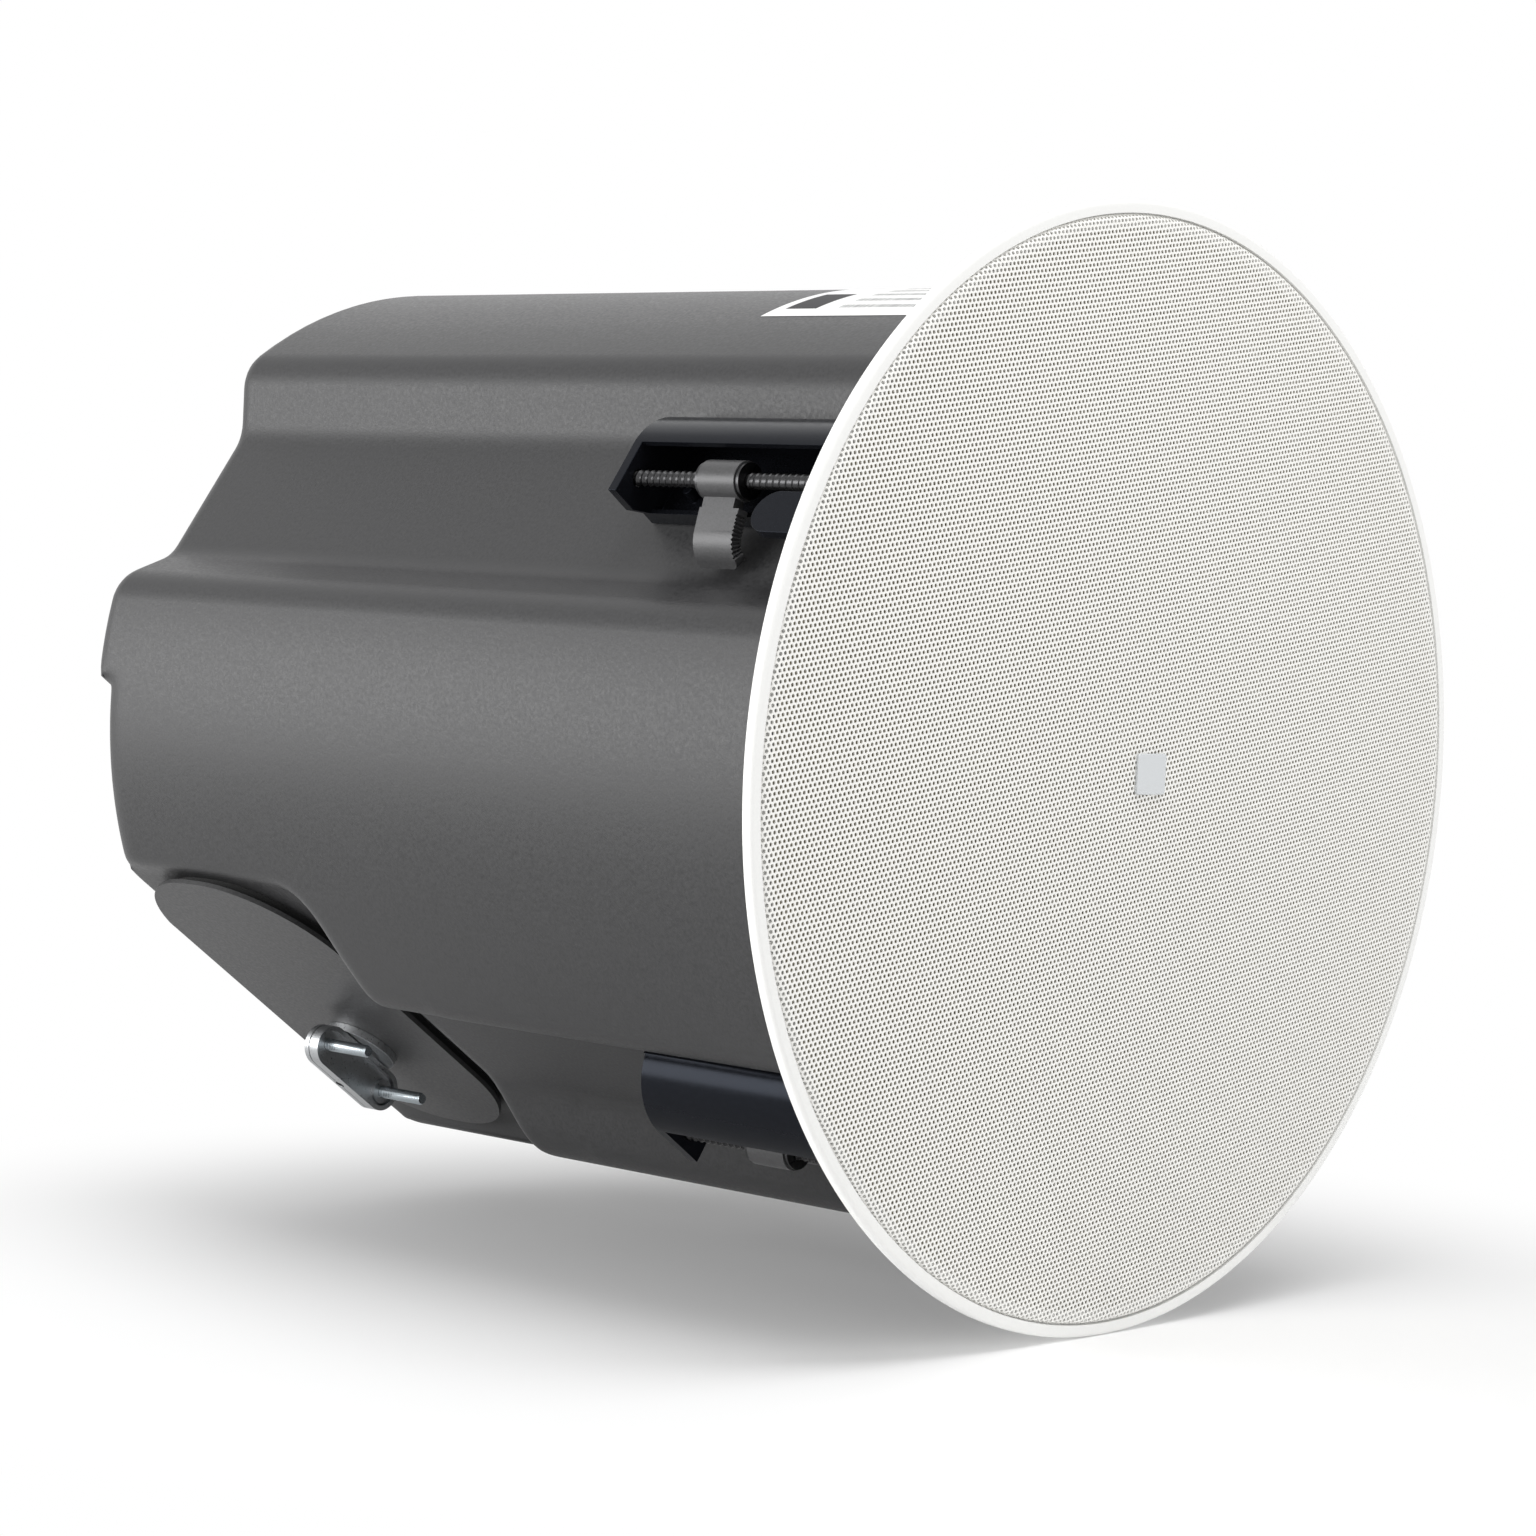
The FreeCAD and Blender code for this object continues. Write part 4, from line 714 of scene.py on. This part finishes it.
def threaded(node, axes, outer_mm, core_mm, pitch_mm, low_mm, high_mm):
    """Copy of a node of plain screws, each shank thinned to its core and a ridge wound on it."""
    shape = bmesh.new()
    shape.from_mesh(welded(nodes[node]))
    for vertex in shape.verts:
        away = min((Vector((vertex.co.x - axis.x, vertex.co.y - axis.y, 0)) for axis in axes),
                   key=lambda offset: offset.length)
        on_shank = low_mm <= vertex.co.z / MM <= high_mm
        if on_shank and 1 - shank_slack < away.length / (outer_mm * MM) < 1 + shank_slack:
            vertex.co -= away * (1 - core_mm / outer_mm)
    for axis in axes:
        ridge = grown(helix, {"Core Radius": core_mm * MM, "Depth": (outer_mm - core_mm) * MM,
                              "Pitch": pitch_mm * MM, "Length": (high_mm - low_mm - pitch_mm) * MM,
                              "Place": (axis.x, axis.y, (low_mm + pitch_mm / 2) * MM),
                              "Finish": nodes[node].data.materials[0]})
        shape.from_mesh(ridge)
        bpy.data.meshes.remove(ridge)
    mesh = bpy.data.meshes.new(node + "_threaded")
    shape.to_mesh(mesh)
    shape.free()
    return mesh


clamp_thread = {"outer_mm": 2.5, "core_mm": 2.0, "pitch_mm": 2.4}
connector_thread = {"outer_mm": 2.0, "core_mm": 1.6, "pitch_mm": 0.8}
clamp_thread_low = 0.05
connector_thread_top = 262.0
connector_head_radius = 3.0
end_slack = 0.01
thread_crease_deg = 40
helix = thread_tree()
for count in clamps:
    node = f"clamp_screw_{count}"
    low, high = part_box(node)
    mesh = threaded(node, [(low + high) / 2], **clamp_thread, low_mm=clamp_thread_low,
                    high_mm=high.z / MM + end_slack)
    piece = keep(node + "_piece", mesh, nodes[node].data.materials[0], f"screw_{count}", [node],
                 sharp_deg=thread_crease_deg)
print("faces in a clamp screw:", len(piece.data.polygons))

low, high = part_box("connector_screws")
head = connector_head_radius * MM
connector_axes = [Vector((x, (low.y + high.y) / 2, 0)) for x in (low.x + head, high.x - head)]
mesh = threaded("connector_screws", connector_axes, **connector_thread, low_mm=low.z / MM - end_slack,
                high_mm=connector_thread_top)
piece = keep("connector_screws_piece", mesh, finishes["bright_zinc_plate"], "root", ["connector_screws"],
             sharp_deg=thread_crease_deg)
print("faces in the connector screws:", len(piece.data.polygons))

# %% [markdown]
# The surround and the spider hold the cone and flex with it. Each one is cut into sectors, and the sectors
# stand in place of the solid.

# %% Cut the surround and the spider into sectors
flex_sectors = {"woofer_surround": 40, "woofer_spider": 16}
sector_cut_mm = 0.0001
sector_crease_deg = 35


def cut_sector(solid, middle, half_sector):
    """The part of a turned solid that lies within half a sector of a direction, in radians about Z."""
    shape = bmesh.new()
    shape.from_mesh(welded(solid))
    for side in (-1, 1):
        edge = middle + side * half_sector
        outward = Vector((-math.sin(edge), math.cos(edge), 0)) * side
        bmesh.ops.bisect_plane(shape, geom=shape.verts[:] + shape.edges[:] + shape.faces[:], clear_outer=True,
                               plane_co=(0, 0, 0), plane_no=outward, dist=sector_cut_mm * MM)
    mesh = bpy.data.meshes.new(solid.name + "_sector")
    shape.to_mesh(mesh)
    shape.free()
    return mesh


for node, sector_count in flex_sectors.items():
    solid = nodes[node]
    half_sector = math.pi / sector_count
    for index in range(sector_count):
        middle = 2 * half_sector * index
        mesh = cut_sector(solid, middle, half_sector)
        mesh.materials.clear()
        mesh.materials.append(solid.data.materials[0])
        mesh.shade_smooth()
        mesh.set_sharp_from_angle(angle=math.radians(sector_crease_deg))
        piece = bpy.data.objects.new(f"{node}_sector_{index + 1}", mesh)
        scene.collection.objects.link(piece)
        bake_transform(piece)
        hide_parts(node)
    print(node, "sectors:", sector_count, "faces in the last:", len(mesh.polygons))

# %% [markdown]
# A rating label is stuck on the upper lobe, close to the bezel. It is a thin sheet bent to the lobe's
# radius. What is printed on it is only hinted at: a dark block and rows of pale grey bars, laid out in the
# sheet's own UV frame.

# %% Stick on the label
block_along = (0.06, 0.24)
block_across = (0.10, 0.38)
bars_along = (0.36, 0.94)
bars_across = (0.10, 0.90)
bar_rows = 9.0
bar_share = 0.4
word_scale = 26.0
word_levels = (0.36, 1.0)


def printed_label():
    """Vinyl with a dark block and broken bars, placed by shares of the sheet's length and width."""
    material = bpy.data.materials.new("printed_vinyl")
    material.use_nodes = True
    tree = material.node_tree
    tree.nodes.clear()
    sheet = add(tree, "ShaderNodeSeparateXYZ", {0: add(tree, "ShaderNodeTexCoord").outputs["UV"]})
    along, across = sheet.outputs["X"], sheet.outputs["Y"]

    def between(value, low, high):
        """1 where a value lies between two limits, else 0."""
        above = math_node(tree, "GREATER_THAN", value, low)
        return math_node(tree, "MULTIPLY", above, math_node(tree, "LESS_THAN", value, high))

    block = math_node(tree, "MULTIPLY", between(along, *block_along), between(across, *block_across))
    row_place = math_node(tree, "FRACT", math_node(tree, "MULTIPLY", across, bar_rows))
    rows = math_node(tree, "LESS_THAN", row_place, bar_share)
    word_place = math_node(tree, "MULTIPLY", along, word_scale)
    words = add(tree, "ShaderNodeTexNoise", {"W": word_place, "Detail": 0.0}, noise_dimensions="1D")
    bars = math_node(tree, "MULTIPLY", rows, between(words.outputs["Fac"], *word_levels))
    field = math_node(tree, "MULTIPLY", between(along, *bars_along), between(across, *bars_across))
    bars = math_node(tree, "MULTIPLY", bars, field)
    tint = add(tree, "ShaderNodeMix", {"Factor": bars, "A": hex_colour("#ECECEB"),
                                       "B": hex_colour("#A6A6A6")}, data_type="RGBA")
    tint = add(tree, "ShaderNodeMix", {"Factor": block, "A": tint.outputs["Result"],
                                       "B": hex_colour("#2A2A2C")}, data_type="RGBA")
    surface = add(tree, "ShaderNodeBsdfPrincipled", {"Base Color": tint.outputs["Result"], "Roughness": 0.6,
                                                     "Specular IOR Level": 0.2})
    add(tree, "ShaderNodeOutputMaterial", {"Surface": surface.outputs["BSDF"]})
    return material


label_radius = 141.58
label_start_deg = 31
label_steps = 28
label_angles = [math.radians(label_start_deg + step) for step in range(label_steps + 1)]
label_heights = (100.0, 32.0)
shape = bmesh.new()
uv_layer = shape.loops.layers.uv.new("sheet")
columns = []
for angle in label_angles:
    x = label_radius * math.cos(angle) * MM
    y = label_radius * math.sin(angle) * MM
    columns.append([shape.verts.new((x, y, height * MM)) for height in label_heights])
for step, (near, far) in enumerate(zip(columns, columns[1:])):
    face = shape.faces.new((near[0], near[1], far[1], far[0]))
    for loop, (along, row) in zip(face.loops, ((0, step), (1, step), (1, step + 1), (0, step + 1))):
        loop[uv_layer].uv = (along, row / label_steps)
shape.normal_update()
if shape.faces[:][0].normal.dot(columns[0][0].co) < 0:
    bmesh.ops.reverse_faces(shape, faces=shape.faces[:])
mesh = bpy.data.meshes.new("rating_label")
shape.to_mesh(mesh)
shape.free()
keep("rating_label", mesh, printed_label(), "root")
print("label in mm:", round(label_heights[0] - label_heights[1]), "long")

# %% [markdown]
# The floor is a plain pale sheet under the loudspeaker, square to the picture's upright. Near the part it
# takes a soft shadow, and further out it fades to white. It can't be seen from below, so the other views
# stay open. The world is white to the camera and in reflections, and dimmer as a light for all else. Four
# soft lamps make the highlights: one above, one in front, one at the left and a weak one behind.

# %% Set the stage
upright_deg = 55.5
floor_middle_metres = 0.09
floor_half_metres = 3.0
fade_start = 0.18
fade_end = 0.37
least_white = 0.1
world_fill = 0.5
upright = math.radians(upright_deg)
photo_up = Vector((math.cos(upright), math.sin(upright), 0))
world_up = Vector((0, 0, 1))
floor_turn = Matrix((photo_up.cross(world_up), world_up, photo_up)).transposed().to_4x4()
floor_place = Matrix.Translation(-photo_up * rim_radius * MM + world_up * floor_middle_metres)
plane = bmesh.new()
bmesh.ops.create_grid(plane, x_segments=1, y_segments=1, size=floor_half_metres)
floor_mesh = bpy.data.meshes.new("floor")
plane.to_mesh(floor_mesh)
plane.free()
floor = bpy.data.objects.new("floor", floor_mesh)
floor.matrix_world = floor_place @ floor_turn
scene.collection.objects.link(floor)
floor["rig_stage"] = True

floor_finish = bpy.data.materials.new("floor_paper")
floor_finish.use_nodes = True
tree = floor_finish.node_tree
tree.nodes.clear()
spot = add(tree, "ShaderNodeTexCoord").outputs["Object"]
distance = add(tree, "ShaderNodeVectorMath", {0: spot}, operation="LENGTH").outputs["Value"]
fade = add(tree, "ShaderNodeMapRange", {"Value": distance, "From Min": fade_start, "From Max": fade_end,
                                        "To Min": least_white}, interpolation_type="SMOOTHSTEP")
paper = add(tree, "ShaderNodeBsdfDiffuse", {"Color": hex_colour("#F6F6F6")})
white = add(tree, "ShaderNodeEmission", {"Color": (1, 1, 1, 1), "Strength": 1.0})
shown = add(tree, "ShaderNodeMixShader", {0: fade.outputs["Result"], 1: paper.outputs[0],
                                          2: white.outputs[0]})
clear = add(tree, "ShaderNodeBsdfTransparent")
behind = add(tree, "ShaderNodeNewGeometry").outputs["Backfacing"]
both = add(tree, "ShaderNodeMixShader", {0: behind, 1: shown.outputs[0], 2: clear.outputs[0]})
add(tree, "ShaderNodeOutputMaterial", {"Surface": both.outputs[0]})
floor_mesh.materials.append(floor_finish)

world = bpy.data.worlds.new("studio")
scene.world = world
world.use_nodes = True
tree = world.node_tree
tree.nodes.clear()
path = add(tree, "ShaderNodeLightPath")
seen = math_node(tree, "MAXIMUM", path.outputs["Is Camera Ray"], path.outputs["Is Glossy Ray"])
seen = math_node(tree, "MAXIMUM", seen, path.outputs["Is Transmission Ray"])
strength = add(tree, "ShaderNodeMapRange", {"Value": seen, "To Min": world_fill, "To Max": 1.0})
sky = add(tree, "ShaderNodeBackground", {"Color": (1, 1, 1, 1), "Strength": strength.outputs["Result"]})
add(tree, "ShaderNodeOutputWorld", {"Surface": sky.outputs["Background"]})

photo_right = Vector((-0.5236, 0.4230, -0.7395))
towards = Vector((0.6376, -0.3811, -0.6695))
aim_point = Vector((0, 0, 0.13))


def softbox(name, place, width, height, power):
    """Area lamp that faces the aim point, its height as near to the picture's upright as can be."""
    lamp = bpy.data.lights.new(name, "AREA")
    lamp.shape = "RECTANGLE"
    lamp.size = width
    lamp.size_y = height
    lamp.energy = power
    holder = bpy.data.objects.new(name, lamp)
    back = (place - aim_point).normalized()
    side = photo_up.cross(back).normalized()
    turn = Matrix((side, back.cross(side), back)).transposed().to_4x4()
    holder.matrix_world = Matrix.Translation(place) @ turn
    holder.visible_camera = False
    scene.collection.objects.link(holder)


# Each lamp: metres along the picture's right, its upright, towards the camera and along +Z from the aim
# point, then width and height in metres and power in watts
lamps = {
    "top_box": ((0.0, 1.5, 0.3, -0.3), 1.4, 0.9, 14.5),
    "front_box": ((1.6, 0.5, 1.2, 0.0), 1.0, 1.0, 6),
    "left_box": ((-1.3, 0.06, 0.35, 0.0), 1.2, 0.9, 21),
    "back_box": ((-0.4, 1.0, -1.2, 0.0), 1.0, 1.0, 1.5),
}
for name, (steps, width, height, power) in lamps.items():
    place = aim_point.copy()
    for direction, step in zip((photo_right, photo_up, towards, world_up), steps):
        place += direction * step
    softbox(name, place, width, height, power)
print("floor height along the picture's upright in mm:", round(-rim_radius, 1))

# %% [markdown]
# The camera stands where the picture was taken from: its place was worked out from the rim's ellipse and
# the can's edges. Its axes are the picture's right, up and back, written as the columns of its matrix.

# %% Place the camera
sensor_mm = 36.0
focal_mm = 92.53
camera_place = Vector((0.7932, -0.4843, -0.6975))
lens = bpy.data.cameras.new("photo_camera")
lens.sensor_width = sensor_mm
lens.lens = focal_mm
camera = bpy.data.objects.new("photo_camera", lens)
right = photo_right.normalized()
back = (towards - right * towards.dot(right)).normalized()
up = back.cross(right)
camera_turn = Matrix((right, up, back)).transposed().to_4x4()
camera.matrix_world = Matrix.Translation(camera_place) @ camera_turn
scene.collection.objects.link(camera)
scene.camera = camera
scene.view_settings.view_transform = "Standard"
print("camera at", [round(axis, 3) for axis in camera.location])

# %% Write the sizes and finish
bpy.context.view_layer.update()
added = [piece for piece in scene.objects if piece.type == "MESH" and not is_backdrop(piece)
         and piece.name not in nodes]
triangles = [sum(len(face.vertices) - 2 for face in piece.data.polygons) for piece in added]
print("pieces added:", len(added), "triangles in all:", sum(triangles), "in the largest:", max(triangles))
